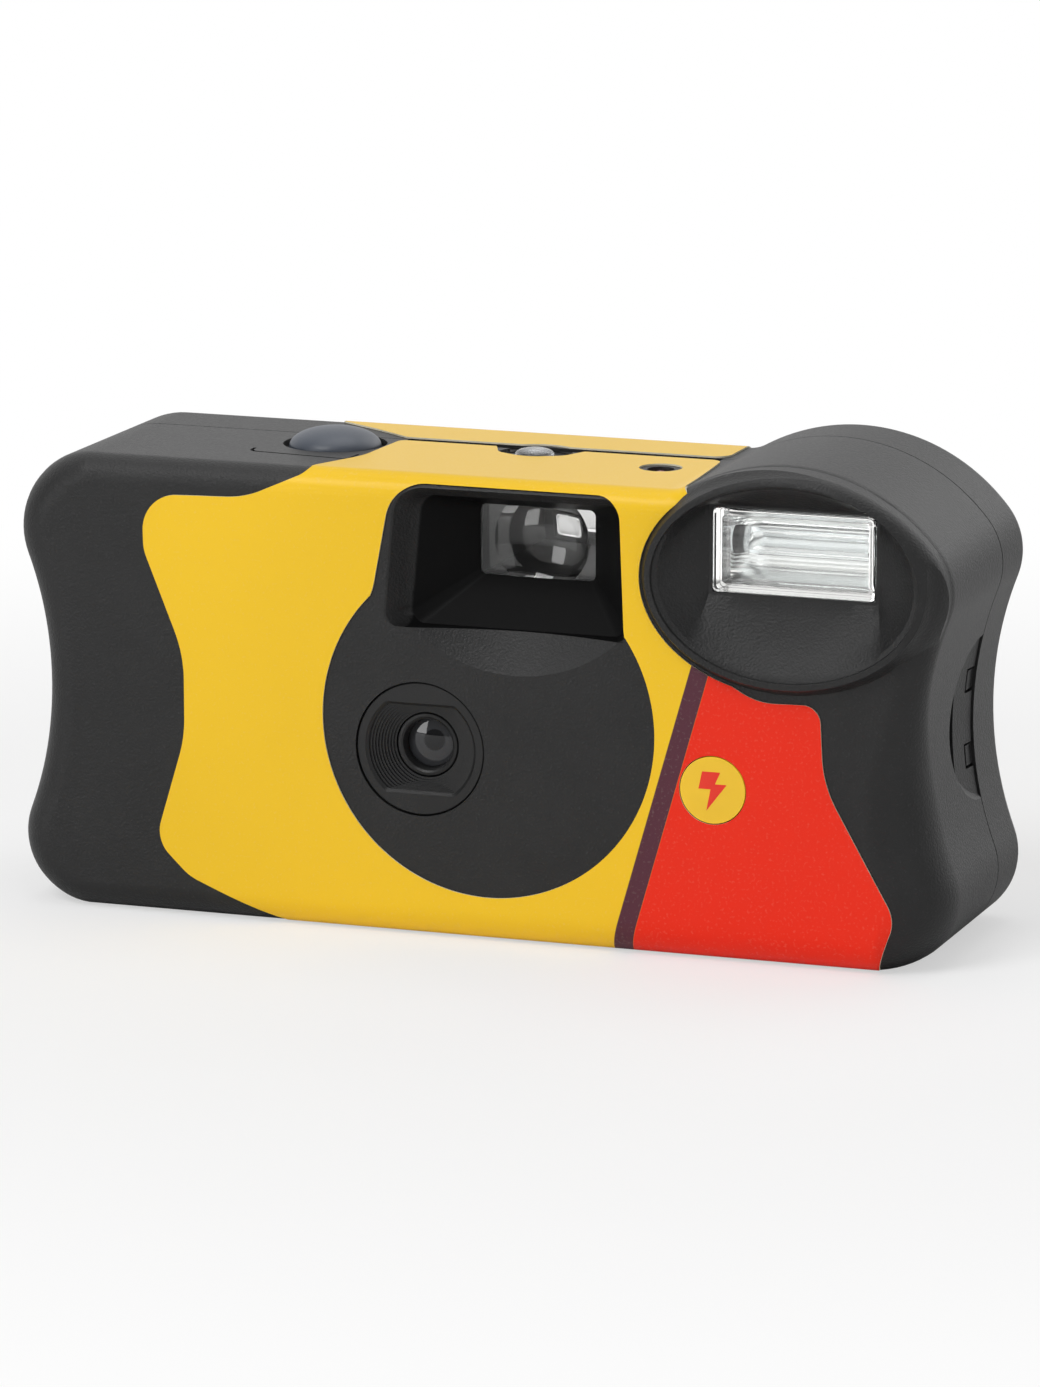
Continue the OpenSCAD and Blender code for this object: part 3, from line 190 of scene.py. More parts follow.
# The dome of the shutter button stands a little off its solid
DOME = (-23.9, 0.7)
COUNTER, COUNTER_R = (1.3, 2.2), 3.0
LAMP, LAMP_R = (19.0, -2.6), 2.0
FLASH_BUTTON, FLASH_BUTTON_R = (30.7, 21.1), 4.05
WHEEL_SLOT = (-40.0, 49.1, 20, 5.4)
EYE_W, EYE_H = 9.0, 6.4

BOTTOM_R, TOP_R, HEAD_R, HEAD_CORNER, DIP_R, WAIST_R = 8.5, 9.7, 24.0, 8.5, 5.0, 44.0
C_BL, C_BR = (-HALF_W + BOTTOM_R, BOTTOM_R), (HALF_W - BOTTOM_R, BOTTOM_R)
C_TL = (-HALF_W + TOP_R, BODY_H - TOP_R)
C_HEAD = (38.5, BODY_H + 3.7 - HEAD_R)
HEAD_END = math.degrees(math.acos((HALF_W - HEAD_CORNER - C_HEAD[0]) / (HEAD_R - HEAD_CORNER)))
C_HR = arc(C_HEAD, HEAD_R - HEAD_CORNER, HEAD_END, HEAD_END + 1, 1)[0]
C_DIP = (C_HEAD[0] - math.sqrt((HEAD_R + DIP_R) ** 2 - (BODY_H + DIP_R - C_HEAD[1]) ** 2), BODY_H + DIP_R)
C_WL = meet(C_BL, WAIST_R + BOTTOM_R, C_TL, WAIST_R + TOP_R, 1)
C_WR = meet(C_BR, WAIST_R + BOTTOM_R, C_HR, WAIST_R + HEAD_CORNER, -1)
WAIST_X = C_WR[0] - WAIST_R


def outline(o):
    """Front view of the body, moved inward by o."""
    return (
        arc(C_BR, BOTTOM_R - o, -90, ang(C_BR, C_WR), 20)
        + arc(C_WR, WAIST_R + o, 180 + ang(C_BR, C_WR), 180 + ang(C_HR, C_WR), 24)[1:]
        + arc(C_HR, HEAD_CORNER - o, ang(C_HR, C_WR), HEAD_END, 20)[1:]
        + arc(C_HEAD, HEAD_R - o, HEAD_END, ang(C_HEAD, C_DIP), 36)[1:]
        + arc(C_DIP, DIP_R + o, ang(C_HEAD, C_DIP) - 180, -90, 10)[1:]
        + arc(C_TL, TOP_R - o, 90, 360 + ang(C_TL, C_WL), 22)
        + arc(C_WL, WAIST_R + o, 180 + ang(C_TL, C_WL), ang(C_BL, C_WL) - 180, 24)[1:]
        + arc(C_BL, BOTTOM_R - o, ang(C_BL, C_WL), 270, 20)[1:]
    )


def ramp(value, low, high):
    """Soft step from 0 to 1."""
    t = max(0.0, min(1.0, (value - low) / (high - low)))
    return t * t * (3 - 2 * t)


def edge_rings(radius, lift, near, sign, n):
    """Rings of a rounded edge from the face to the side, lifted off it; the radius may change round the outline."""
    rim = list(zip(outline(0), outline(0.5)))
    rings = []
    for i in range(n + 1):
        a = math.pi / 2 * i / n
        ring = []
        for p, q in rim:
            r = radius(*p)
            k = 2 * (r - (r + lift) * math.sin(a))
            y = near - sign * (r - (r + lift) * math.cos(a))
            ring.append((p[0] + (q[0] - p[0]) * k, y, p[1] + (q[1] - p[1]) * k))
        rings.append(ring)
    return rings


def front_radius(sizes):
    """Radius of the front edge: softer round the flash head and down the sides."""
    low, high = sizes.front_edge / MM, sizes.side_edge / MM

    def radius(x, z):
        head = 0.25 * ramp(x, 27, 40) * ramp(z, 24, 44)
        side = ramp(x, 46, 56) * (1 - 0.75 * ramp(z, 18, 36))
        return low + (high - low) * max(head, side, 0.44 * ramp(-x, 44, 57))

    return radius


def quarter(r, n):
    """Steps of a quarter round: how far in, how far along."""
    return [
        (r * (1 - math.sin(math.pi / 2 * i / n)), r * (1 - math.cos(math.pi / 2 * i / n))) for i in range(n + 1)
    ]


# Modelling helpers


def deselect():
    """Nothing selected, in object mode."""
    if bpy.context.object and bpy.context.object.mode != "OBJECT":
        bpy.ops.object.mode_set(mode="OBJECT")
    bpy.ops.object.select_all(action="DESELECT")


def pick(obj):
    """Only this object selected and active."""
    deselect()
    obj.select_set(True)
    bpy.context.view_layer.objects.active = obj


def loft(name, layers):
    """Closed solid through rings of points: the first is filled, then extruded ring by ring."""
    deselect()
    bpy.ops.mesh.primitive_circle_add(vertices=len(layers[0]), radius=1.0, fill_type="NGON")
    obj = bpy.context.object
    obj.name = name
    bpy.ops.object.mode_set(mode="EDIT")
    bpy.ops.mesh.select_mode(type="FACE")
    bpy.ops.mesh.select_all(action="SELECT")
    mesh = bmesh.from_edit_mesh(obj.data)
    ring = list(mesh.faces[:][0].verts)
    for vert, point in zip(ring, layers[0]):
        vert.co = Vector(point) * MM
    for layer in layers[1:]:
        place = {tuple(vert.co): i for i, vert in enumerate(ring)}
        bmesh.update_edit_mesh(obj.data)
        bpy.ops.mesh.extrude_region_move()
        mesh = bmesh.from_edit_mesh(obj.data)
        face = [f for f in mesh.faces if f.select][0]
        ring = sorted(face.verts, key=lambda vert: place[tuple(vert.co)])
        for vert, point in zip(ring, layer):
            vert.co = Vector(point) * MM
    bmesh.update_edit_mesh(obj.data)
    bpy.ops.mesh.select_all(action="SELECT")
    bpy.ops.mesh.normals_make_consistent(inside=False)
    bpy.ops.object.mode_set(mode="OBJECT")
    return obj


def prism(name, points, y0, y1):
    """Front-view shape given a depth."""
    return loft(name, [at_y(points, y0), at_y(points, y1)])


def slab(name, points, z0, z1):
    """Top-view shape given a height."""
    return loft(name, [at_z(points, z0), at_z(points, z1)])


def post(name, centre, r, z0, z1, n=72):
    """Upright rod."""
    return slab(name, circle(centre, r, n), z0, z1)


def turned(name, centre, profile, n, lay=at_y):
    """Turned solid through (radius, place on the axis), which runs back or, with at_z, up."""
    return loft(name, [lay(circle(centre, r, n), k) for r, k in profile])


def block(name, x0, x1, y0, y1, z0, z1):
    """Box between two corners."""
    return prism(name, [(x0, z0), (x1, z0), (x1, z1), (x0, z1)], y0, y1)


def combine(obj, tool, operation="DIFFERENCE"):
    """Cuts, joins or intersects one solid with another, which goes."""
    pick(obj)
    change = obj.modifiers.new("change", "BOOLEAN")
    change.object = tool
    change.operation = operation
    change.solver = "EXACT"
    bpy.ops.object.modifier_apply(modifier=change.name)
    bpy.data.objects.remove(tool)
    if not obj.data.polygons:
        raise RuntimeError(f"{obj.name} came out empty")
    return obj


def merge(obj, distance_mm, flat_degrees=0.0):
    """Merges doubles, and dissolves edges between faces that lie in one plane."""
    pick(obj)
    bpy.ops.object.mode_set(mode="EDIT")
    bpy.ops.mesh.select_all(action="SELECT")
    bpy.ops.mesh.remove_doubles(threshold=distance_mm * MM)
    if flat_degrees:
        bpy.ops.mesh.dissolve_limited(angle_limit=math.radians(flat_degrees))
    bpy.ops.object.mode_set(mode="OBJECT")
    return obj


def soften(obj, width_mm, degrees=35.0):
    """Small rounding on the sharp edges."""
    pick(obj)
    bevel = obj.modifiers.new("edges", "BEVEL")
    bevel.width = width_mm * MM
    bevel.segments = 2
    bevel.limit_method = "ANGLE"
    bevel.angle_limit = math.radians(degrees)
    bevel.miter_outer = "MITER_ARC"
    bpy.ops.object.modifier_apply(modifier=bevel.name)
    return obj


def shade(obj, degrees):
    """Smooth shading that leaves flat faces flat."""
    pick(obj)
    bpy.ops.object.shade_smooth_by_angle(angle=math.radians(degrees))
    even = obj.modifiers.new("even", "WEIGHTED_NORMAL")
    even.mode = "FACE_AREA"
    even.weight = 50
    even.keep_sharp = True
    bpy.ops.object.modifier_apply(modifier=even.name)
    return obj


def refined(node, name, degrees=30.0, edge_mm=0.0):
    """A merged copy of a solid's mesh with soft shading, standing for it."""
    deselect()
    obj = bpy.data.objects.new(name, frame["nodes"][node].data.copy())
    bpy.context.scene.collection.objects.link(obj)
    obj.data.materials.clear()
    merge(obj, 0.001, 0.05)
    if edge_mm:
        soften(obj, edge_mm)
    return stand(shade(obj, degrees), node)


def stand(obj, *nodes):
    """The piece stands for these solids and moves with their body."""
    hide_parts(*nodes)
    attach(obj, BODY_OF[nodes[0]])
    return obj


def dress(obj, key):
    """Gives a piece its one finish."""
    obj.data.materials.clear()
    obj.data.materials.append(finish(key))
    return obj


def settle(obj, node, degrees, key):
    """Shades and dresses a new piece, which stands for a solid."""
    return dress(stand(shade(obj, degrees), node), key)


# Materials


class Val:
    """A socket of a material; arithmetic on it adds Math nodes."""

    def __init__(self, finish, socket):
        self.finish, self.socket = finish, socket

    def math(self, operation, *values):
        inputs = dict(enumerate((self, *values)))
        return self.finish.node("ShaderNodeMath", {"operation": operation}, inputs)

    def __add__(self, other):
        return self.math("ADD", other)

    __radd__ = __add__

    def __mul__(self, other):
        return self.math("MULTIPLY", other)

    __rmul__ = __mul__

    def __sub__(self, other):
        return self.math("SUBTRACT", other)

    def __rsub__(self, other):
        return (self * -1.0) + other

    def __pow__(self, other):
        return self.math("POWER", other)


class Finish:
    """A material built from nodes on Object coordinates."""

    def __init__(self, name):
        self.material = bpy.data.materials.new(name)
        self.material.use_nodes = True
        self.tree = self.material.node_tree
        self.shader = self.tree.nodes["Principled BSDF"]
        self.place = self.node("ShaderNodeTexCoord", out="Object")

    def node(self, kind, settings=None, inputs=None, out=0):
        """Adds a node: its settings first, then its inputs' values or links."""
        made = self.tree.nodes.new(kind)
        for key, value in (settings or {}).items():
            setattr(made, key, value)
        for key, value in (inputs or {}).items():
            self.put(made.inputs[key], value)
        return Val(self, made.outputs[out])

    def put(self, socket, value):
        """Links a value into a socket, or sets it."""
        if isinstance(value, Val):
            self.tree.links.new(value.socket, socket)
        else:
            socket.default_value = (*value, 1.0) if socket.type == "RGBA" and len(value) == 3 else value

    def axes(self):
        """The three Object coordinates, in metres."""
        split = self.tree.nodes.new("ShaderNodeSeparateXYZ")
        self.put(split.inputs[0], self.place)
        return [Val(self, socket) for socket in split.outputs]

    def noise(self, scale, detail=2.0, stretch=None):
        """Noise of a given scale per metre, from 0 to 1."""
        where = self.place
        if stretch:
            where = self.node("ShaderNodeMapping", None, {"Vector": where, "Scale": stretch})
        return self.node("ShaderNodeTexNoise", None, {"Vector": where, "Scale": scale, "Detail": detail}, "Fac")

    def smooth(self, value, low, high, to_low=0.0, to_high=1.0):
        """Soft step between two values."""
        inputs = {"Value": value, "From Min": low, "From Max": high, "To Min": to_low, "To Max": to_high}
        return self.node("ShaderNodeMapRange", {"interpolation_type": "SMOOTHSTEP"}, inputs)

    def blend(self, factor, a, b):
        """Mix of two colours."""
        mix = self.tree.nodes.new("ShaderNodeMix")
        mix.data_type = "RGBA"
        self.put(mix.inputs["Factor"], factor)
        colours = [s for s in mix.inputs if s.type == "RGBA"]
        self.put(colours[0], a)
        self.put(colours[1], b)
        return Val(self, [s for s in mix.outputs if s.type == "RGBA"][0])

    def bump(self, height, strength, depth_mm):
        """Normal of a height, of so many millimetres."""
        return self.node(
            "ShaderNodeBump", None, {"Height": height, "Strength": strength, "Distance": depth_mm * MM}, "Normal"
        )

    def set(self, **values):
        """Sets or links the shader's sockets, with spaces as underscores."""
        for key, value in values.items():
            self.put(self.shader.inputs[key.replace("_", " ")], value)
        return self.material

    def mix_in(self, factor, other):
        """Mixes another shader over this one."""
        both = self.node("ShaderNodeMixShader", None, {0: factor, 1: Val(self, self.shader.outputs[0]), 2: other})
        self.put(self.tree.nodes["Material Output"].inputs["Surface"], both)


def tinted(base, factor):
    """A colour made lighter or darker."""
    return tuple(min(1.0, c * factor) for c in base)


def moulded_plastic(name, base, rough=0.46, grain=1.0, specks=0.8, shine=0.36, dark=None):
    """Matt moulded plastic with a spark-eroded grain, with a darker copy mixed in as painted shade where asked."""
    f = Finish(name)
    fine = f.noise(3300.0, 3.0)
    broad = f.noise(130.0, 2.0)
    tone = f.blend(f.smooth(broad, 0.3, 0.7), tinted(base, 0.9), tinted(base, 1.12))
    tone = f.blend(f.smooth(fine, 0.58, 0.78) * specks, tone, tinted(base, 2.6))
    bump = f.bump(fine, grain, 0.09)
    f.set(Base_Color=tone, Roughness=fine * 0.16 + (rough - 0.08), Normal=bump, Specular_IOR_Level=shine)
    # Painted shade: a darker, duller copy of the plastic, mixed in where the mask asks
    if dark:
        shaded_copy = {"Base Color": tinted(base, 0.55), "Roughness": 0.45, "Specular IOR Level": 0.06}
        f.mix_in(dark(f), f.node("ShaderNodeBsdfPrincipled", None, shaded_copy))
    return f.material


def hood_painted_shade(f):
    """Where the cover takes painted shade: the walls and floor inside the finder hood."""
    x, y, z = f.axes()
    walls = f.smooth(y, -0.0148, -0.0144)
    floor = f.smooth(y, -0.0176, -0.01745) * f.smooth(z, 0.0425, 0.0415) * f.smooth(x, -0.0083, -0.0079)
    box = f.smooth(x, -0.0102, -0.0098) * f.smooth(x, 0.0196, 0.0192) * f.smooth(z, 0.03795, 0.038)
    box = box * f.smooth(z, 0.0547, 0.0543) * f.smooth(y, -0.0086, -0.009)
    return walls.math("MAXIMUM", floor) * box


def sheet_print(f, tone):
    """Satin printed film: a faint tooth and a slight waviness."""
    tooth = f.noise(3800.0, 2.0)
    wave = f.noise(90.0, 1.0)
    return f.set(
        Base_Color=tone,
        Roughness=tooth * 0.1 + 0.29,
        Normal=f.bump(tooth * 0.35 + wave, 0.16, 0.06),
        Specular_IOR_Level=0.22,
    )


def yellow_field(f, colours):
    """Soft cloud mask, and the yellow that varies a little with it."""
    soft = f.smooth(f.noise(26.0, 1.0), 0.25, 0.75)
    return soft, f.blend(soft, tinted(colours.yellow, 0.97), tinted(colours.yellow, 1.03))


def front_print(colours):
    """Yellow and red fields parted by a slanted plum band, with soft clouds in both colours."""
    f = Finish("front label print")
    x, _, z = f.axes()
    slant = x - z * 0.285 - 0.0125
    red = f.smooth(slant, 0.0076, 0.0077)
    plum = f.smooth(slant, 0.0052, 0.0053) * (1 - red)
    soft, yellow = yellow_field(f, colours)
    speck = f.smooth(f.noise(2600.0, 1.0), 0.55, 0.8) * 0.05
    tone = f.blend(plum, yellow, tuple(colours.plum))
    tone = f.blend(red, tone, f.blend(soft, tinted(colours.red, 0.96), tinted(colours.red, 1.05)))
    tone = f.blend(speck, tone, (0.9, 0.85, 0.7))
    return sheet_print(f, tone)


def rear_print(colours):
    """Yellow sheet with a red foot parted by a plum band."""
    f = Finish("rear label print")
    x, _, z = f.axes()
    slant = z + x * 0.16
    red = f.smooth(slant, 0.0170, 0.0169)
    plum = f.smooth(slant, 0.0190, 0.0189) * (1 - red)
    tone = f.blend(plum, yellow_field(f, colours)[1], tuple(colours.plum))
    tone = f.blend(red, tone, tuple(colours.red))
    return sheet_print(f, tone)


def paper_edge(colours):
    """Pale cut edge of the labels."""
    f = Finish("label paper edge")
    fibre = f.noise(4200.0, 2.0)
    tone = f.blend(fibre, tinted(colours.paper, 0.85), tuple(colours.paper))
    return f.set(Base_Color=tone, Roughness=fibre * 0.1 + 0.65)


def clear_plastic(name, tint, rough):
    """Clear moulded plastic with faint flow marks; light passes it."""
    f = Finish(name)
    flow = f.noise(160.0, 2.0)
    tone = f.blend(flow, tinted(tint, 0.98), tint)
    open_way = 1 - f.node("ShaderNodeLightPath", out="Is Shadow Ray") * 0.96
    f.set(Base_Color=tone, Roughness=flow * 0.01 + rough, Alpha=open_way)
    return f.set(Transmission_Weight=1.0, IOR=1.49)


def lens_with_painted_stop(name):
    """Glossy opaque lens with the view through it painted on: the stop's round hole as painted shade, the lit plate
    round it as a painted grey.
    """
    f = Finish(name)
    x, _, z = f.axes()
    across, up = x - (LENS[0] + 0.5) * MM, z - (LENS[1] + 0.4) * MM
    off = (across * across + up * up) ** 0.5
    # Painted shade for the stop's hole, painted grey for the plate behind the glass
    tone = f.blend(f.smooth(off, 0.0012, 0.0014), (0.002, 0.002, 0.003), (0.034, 0.035, 0.038))
    return f.set(Base_Color=tone, Roughness=0.03, IOR=1.49)


def bright_metal(name, base, rough, grain_scale, stretch=None):
    """Metal with fine rolling or drawing marks."""
    f = Finish(name)
    mark = f.noise(grain_scale, 3.0, stretch)
    tone = f.blend(mark, tinted(base, 0.86), tuple(base))
    return f.set(Base_Color=tone, Metallic=1.0, Roughness=mark * 0.14 + rough, Normal=f.bump(mark, 0.25, 0.02))


def satin(name, base, rough, grain=0.12, coat=0.0):
    """Smooth plastic or lacquer with a faint surface tooth."""
    f = Finish(name)
    tooth = f.noise(2600.0, 2.0)
    broad = f.noise(140.0, 2.0)
    tone = f.blend(broad, tinted(base, 0.9), tinted(base, 1.08))
    return f.set(
        Base_Color=tone,
        Roughness=tooth * 0.1 + (rough - 0.05),
        Coat_Weight=coat,
        Normal=f.bump(tooth, grain, 0.04),
    )


def cell_wrap(name):
    """Printed sleeve of the cell: copper end, dark body, thin pale line."""
    f = Finish(name)
    x, _, _ = f.axes()
    tooth = f.noise(1500.0, 2.0)
    copper = f.smooth(x, 0.0055, 0.0057)
    line = f.smooth(x, 0.0045, 0.0046) * (1 - f.smooth(x, 0.0052, 0.0053))
    tone = f.blend(copper, (0.03, 0.032, 0.036), (0.55, 0.3, 0.14))
    tone = f.blend(line, tone, (0.7, 0.7, 0.68))
    return f.set(Base_Color=tone, Metallic=copper * 0.8, Roughness=tooth * 0.12 + 0.26)


def wound_wire(name, base):
    """Enamelled wire laid in turns, darker between them: painted shade in the grooves."""
    f = Finish(name)
    _, _, z = f.axes()
    turns = (z * 15700.0).math("SINE") * 0.5 + 0.5
    # Darker at the grooves between the turns: painted shade
    tone = f.blend(turns, tinted(base, 0.45), tuple(base))
    return f.set(Base_Color=tone, Roughness=turns * -0.12 + 0.42, Normal=f.bump(turns, 0.5, 0.1))


def circuit_board(name):
    """Brown laminate with copper tracks."""
    f = Finish(name)
    cells = f.node(
        "ShaderNodeTexVoronoi",
        {"feature": "DISTANCE_TO_EDGE", "distance": "MANHATTAN"},
        {"Vector": f.place, "Scale": 260.0},
        "Distance",
    )
    track = 1 - f.smooth(cells, 0.07, 0.12)
    weave = f.noise(1900.0, 2.0)
    tone = f.blend(weave, (0.23, 0.12, 0.045), (0.32, 0.18, 0.07))
    tone = f.blend(track * 0.75, tone, (0.52, 0.29, 0.13))
    return f.set(Base_Color=tone, Roughness=0.55 - track * 0.2, Metallic=track * 0.5)


def film_base(name):
    """Brown film with a dark glossy back."""
    f = Finish(name)
    streak = f.noise(700.0, 2.0, (1.0, 1.0, 0.05))
    tone = f.blend(streak, (0.09, 0.045, 0.035), (0.14, 0.07, 0.055))
    return f.set(Base_Color=tone, Roughness=streak * 0.1 + 0.2)


MADE = {}


def finish(key):
    """The finish of one slot of the record, made once."""
    c = bpy.context.scene.camera_colours
    recipes = {
        "black_plastic": lambda: moulded_plastic("black plastic", c.plastic),
        # The front cover's plastic, with painted shade inside the finder hood
        "cover_plastic": lambda: moulded_plastic("front cover plastic", c.plastic, dark=hood_painted_shade),
        "ring_plastic": lambda: moulded_plastic("ring plastic", c.plastic, 0.42, 0.3, 0.2),
        # Half as bright as the black plastic: painted shade for the pieces inside the covers
        "inner_plastic": lambda: moulded_plastic("inner plastic", tinted(c.plastic, 0.5), 0.5, 0.2, 0.1, 0.12),
        "front_label": lambda: front_print(c),
        "rear_label": lambda: rear_print(c),
        "paper_edge": lambda: paper_edge(c),
        "flash_button": lambda: satin("flash button yellow", c.yellow, 0.36),
        "button_mark": lambda: satin("flash button mark", c.red, 0.36),
        "shutter_button": lambda: satin("shutter button blue-grey", c.button, 0.42, 0.1),
        "clear_plastic": lambda: clear_plastic("clear plastic", (0.985, 0.985, 0.978), 0.005),
        "lens_plastic": lambda: lens_with_painted_stop("taking lens"),
        "counter_plastic": lambda: clear_plastic("counter lens", (0.8, 0.82, 0.84), 0.26),
        "window_plastic": lambda: clear_plastic("flash cover", (0.99, 0.99, 0.985), 0.005),
        "tube_glass": lambda: clear_plastic("tube glass", (0.93, 0.96, 0.97), 0.01),
        "lamp": lambda: satin("ready lamp", c.lamp, 0.2, 0.05, 0.6),
        "reflector": lambda: bright_metal("reflector", (0.98, 0.98, 0.97), 0.11, 500.0, (0.06, 1.0, 1.0)),
        "board": lambda: circuit_board("circuit board"),
        "capacitor": lambda: satin("capacitor sleeve", (0.015, 0.018, 0.04), 0.3),
        "winding": lambda: wound_wire("winding", (0.36, 0.14, 0.05)),
        "contact_metal": lambda: bright_metal("contact metal", (0.72, 0.66, 0.5), 0.22, 1500.0, (1.0, 1.0, 0.1)),
        "cell": lambda: cell_wrap("cell sleeve"),
        "cartridge_steel": lambda: satin("cartridge steel", (0.02, 0.021, 0.023), 0.28),
        "film": lambda: film_base("film"),
        "white_plastic": lambda: satin("white plastic", (0.78, 0.77, 0.73), 0.4),
        "spring_steel": lambda: bright_metal("spring steel", (0.6, 0.6, 0.6), 0.25, 2200.0),
        "blade_steel": lambda: satin("blade steel", (0.045, 0.045, 0.048), 0.4, 0.02),
    }
    if key not in MADE:
        MADE[key] = recipes[key]()
    return MADE[key]


# Shapes of the covers


def hood_ring(left, right, top, bottom):
    """Mouth of the finder hood, each edge moved outward."""
    x, z = FINDER[0], LENS[1] + 14.8
    roof = BODY_H - 1.9 + top
    return rounded([
        (x - 14.2 - left, z - bottom, 1.6), (x + 12.9 + right, z - bottom, 1.6),
        (x + 12.5 + right, roof, 2.0 + min(right, top)), (x - 12.7 - left, roof, 3.0 + top),
    ])


def mix_rings(a, b, t):
    """Ring between two rings."""
    return [(p[0] + (q[0] - p[0]) * t, p[1] + (q[1] - p[1]) * t) for p, q in zip(a, b)]


def window_ring(grow_w, grow_h):
    """Window's edge as 96 points, each facing its point of the rim's ellipse."""
    w, h = WINDOW_W / 2 + grow_w, WINDOW_H / 2 + grow_h
    points = []
    for i in range(96):
        k = ((i + 12) // 24) % 4
        t = ((i + 12) % 24) / 24 * 2 - 1
        u, v = [(1, t), (-t, 1), (-1, -t), (t, -1)][k]
        points.append((WINDOW[0] + w * u, WINDOW[1] + h * v))
    return points


def rim_ring(grow, dx=0.0, dz=0.0, extra=0.0):
    """Ellipse of the flash rim, moved outward."""
    return ellipse(RIM[0] + dx, RIM[1] + dz, RIM_A + grow, RIM_B + grow + extra, 96)


def bowl_rings():
    """Bowl from the rim down to the window, hollowed a little."""
    mouth, floor = rim_ring(-1.0), window_ring(0.5, 0.4)
    depth = BOWL_Y - RIM_Y
    steps = [(0.0, 0.0), (0.1, 0.16), (0.28, 0.4), (0.52, 0.64), (0.78, 0.85), (1.0, 1.0)]
    return [at_y(mix_rings(mouth, floor, t), RIM_Y + depth * d) for t, d in steps]


def button_wells(cover):
    """Round well and bore of the shutter button, with the fine groove in front of it."""
    frame_line = [(-32.0, -7.9, 1.5), (-18.5, -9.2, 1.0), (-17.4, 8, 2), (-32.4, 8, 2)]
    groove = slab("groove", rounded(frame_line), BODY_H - 0.4, BODY_H + 3)
    inner = [(-31.6, -7.5, 1.2), (-18.8, -8.8, 0.7), (-17.8, 7.6, 2), (-32.0, 7.6, 2)]
    combine(groove, slab("groove_core", rounded(inner), BODY_H - 1, BODY_H + 4))
    combine(groove, block("groove_limit", -40, 0, -20, -5.6, 40, 70), "INTERSECT")
    combine(cover, groove)
    combine(cover, post("well", DOME, BUTTON_R + 0.75, BODY_H - 0.8, BODY_H + 2, 96))
    combine(cover, post("button_bore", DOME, BUTTON_R + 0.1, BODY_H - 3.4, BODY_H + 1, 96))


def top_wells(cover, groove):
    """Counter's well, and the groove that parts the labels on top."""
    combine(cover, post("counter_well", COUNTER, 4.6, BODY_H - 0.6, BODY_H + 1))
    ends = sorted((groove, Y_PART))
    combine(cover, block("seam_groove", BUTTON[0] + 8.8, RIM[0] - 15.8, ends[0], ends[1], BODY_H - 0.45, BODY_H + 1))


# Flash pod: outward from the rim, depth
POD_FLARE = (
    (3.0, -10.0), (2.7, -12.6), (2.3, -14.6), (1.9, -15.8), (1.45, -16.7), (1.0, -17.3), (0.6, -17.8), (0.28, -18.35),
    (0.08, -18.8),
)
# Hood's mouth: share of the lip, depth, rise of its top
HOOD_MOUTH = (
    (1.1, -1.0, 1.0), (1.08, 0.0, 1.0), (0.98, 0.1, 0.9), (0.88, 0.4, 0.6), (0.45, 1.7, -0.4), (0.0, 3.0, -0.5),
)
# Finger notch: outward from the waist, radius
NOTCH = ((3.0, 13.4), (0.0, 10.0), (-1.0, 8.4), (-2.4, 7.8))
# Places of the board's posts, ends of the slots in the top edge, heights of the snaps
BOARD_POSTS = ((17.5, 20.4), (17.5, 32.4), (42.0, 34.4))
TOP_SLOTS = ((6.4, 9.2), (10.6, 13.7), (14.7, 15.9))
SNAPS = (C_WR[1] - 4.6, C_WR[1] + 4.6)
BOWL_LIP, SHELF, SHELF_R = 0.42, (FINDER[0], 52.4), 19.4


def build_flash_head(sizes):
    """Flash head: a pod that flares to the rim, with the bowl sunk in it and the window's opening."""
    pod = [at_y(rim_ring(g, 0.05 * g, -0.1 * g, -0.2 * g), y) for g, y in POD_FLARE]
    pod += [at_y(rim_ring(-i), RIM_Y + k) for i, k in quarter(sizes.rim_round / MM, 5)[::-1]]
    head = loft("flash_pod", pod[::-1])
    limit = edge_rings(lambda x, z: 2.0 + 1.5 * ramp(x, 44, 57), -0.13, RIM_Y - 0.02, -1, 8)
    combine(head, loft("head_limit", limit + [at_y(outline(0.13), Y_PART - 5)]), "INTERSECT")
    combine(head, loft("pod_hollow", [at_y(rim_ring(-0.4), FLANGE_Y + 0.1), at_y(rim_ring(1.3), -9.0)]))
    flare = [at_y(rim_ring(-1.0 + i), RIM_Y + k) for i, k in quarter(BOWL_LIP, 4)]
    start = [[(x, RIM_Y - 1.0, z) for x, _, z in flare[0]]]
    combine(head, loft("bowl", start + flare + bowl_rings()[1:]))
    opening = rect(*WINDOW, WINDOW_W + 0.2, WINDOW_H + 0.2, 0.4)
    combine(head, prism("window", opening, BOWL_Y - 1, FLANGE_Y + 1))
    return merge(head, 0.01)


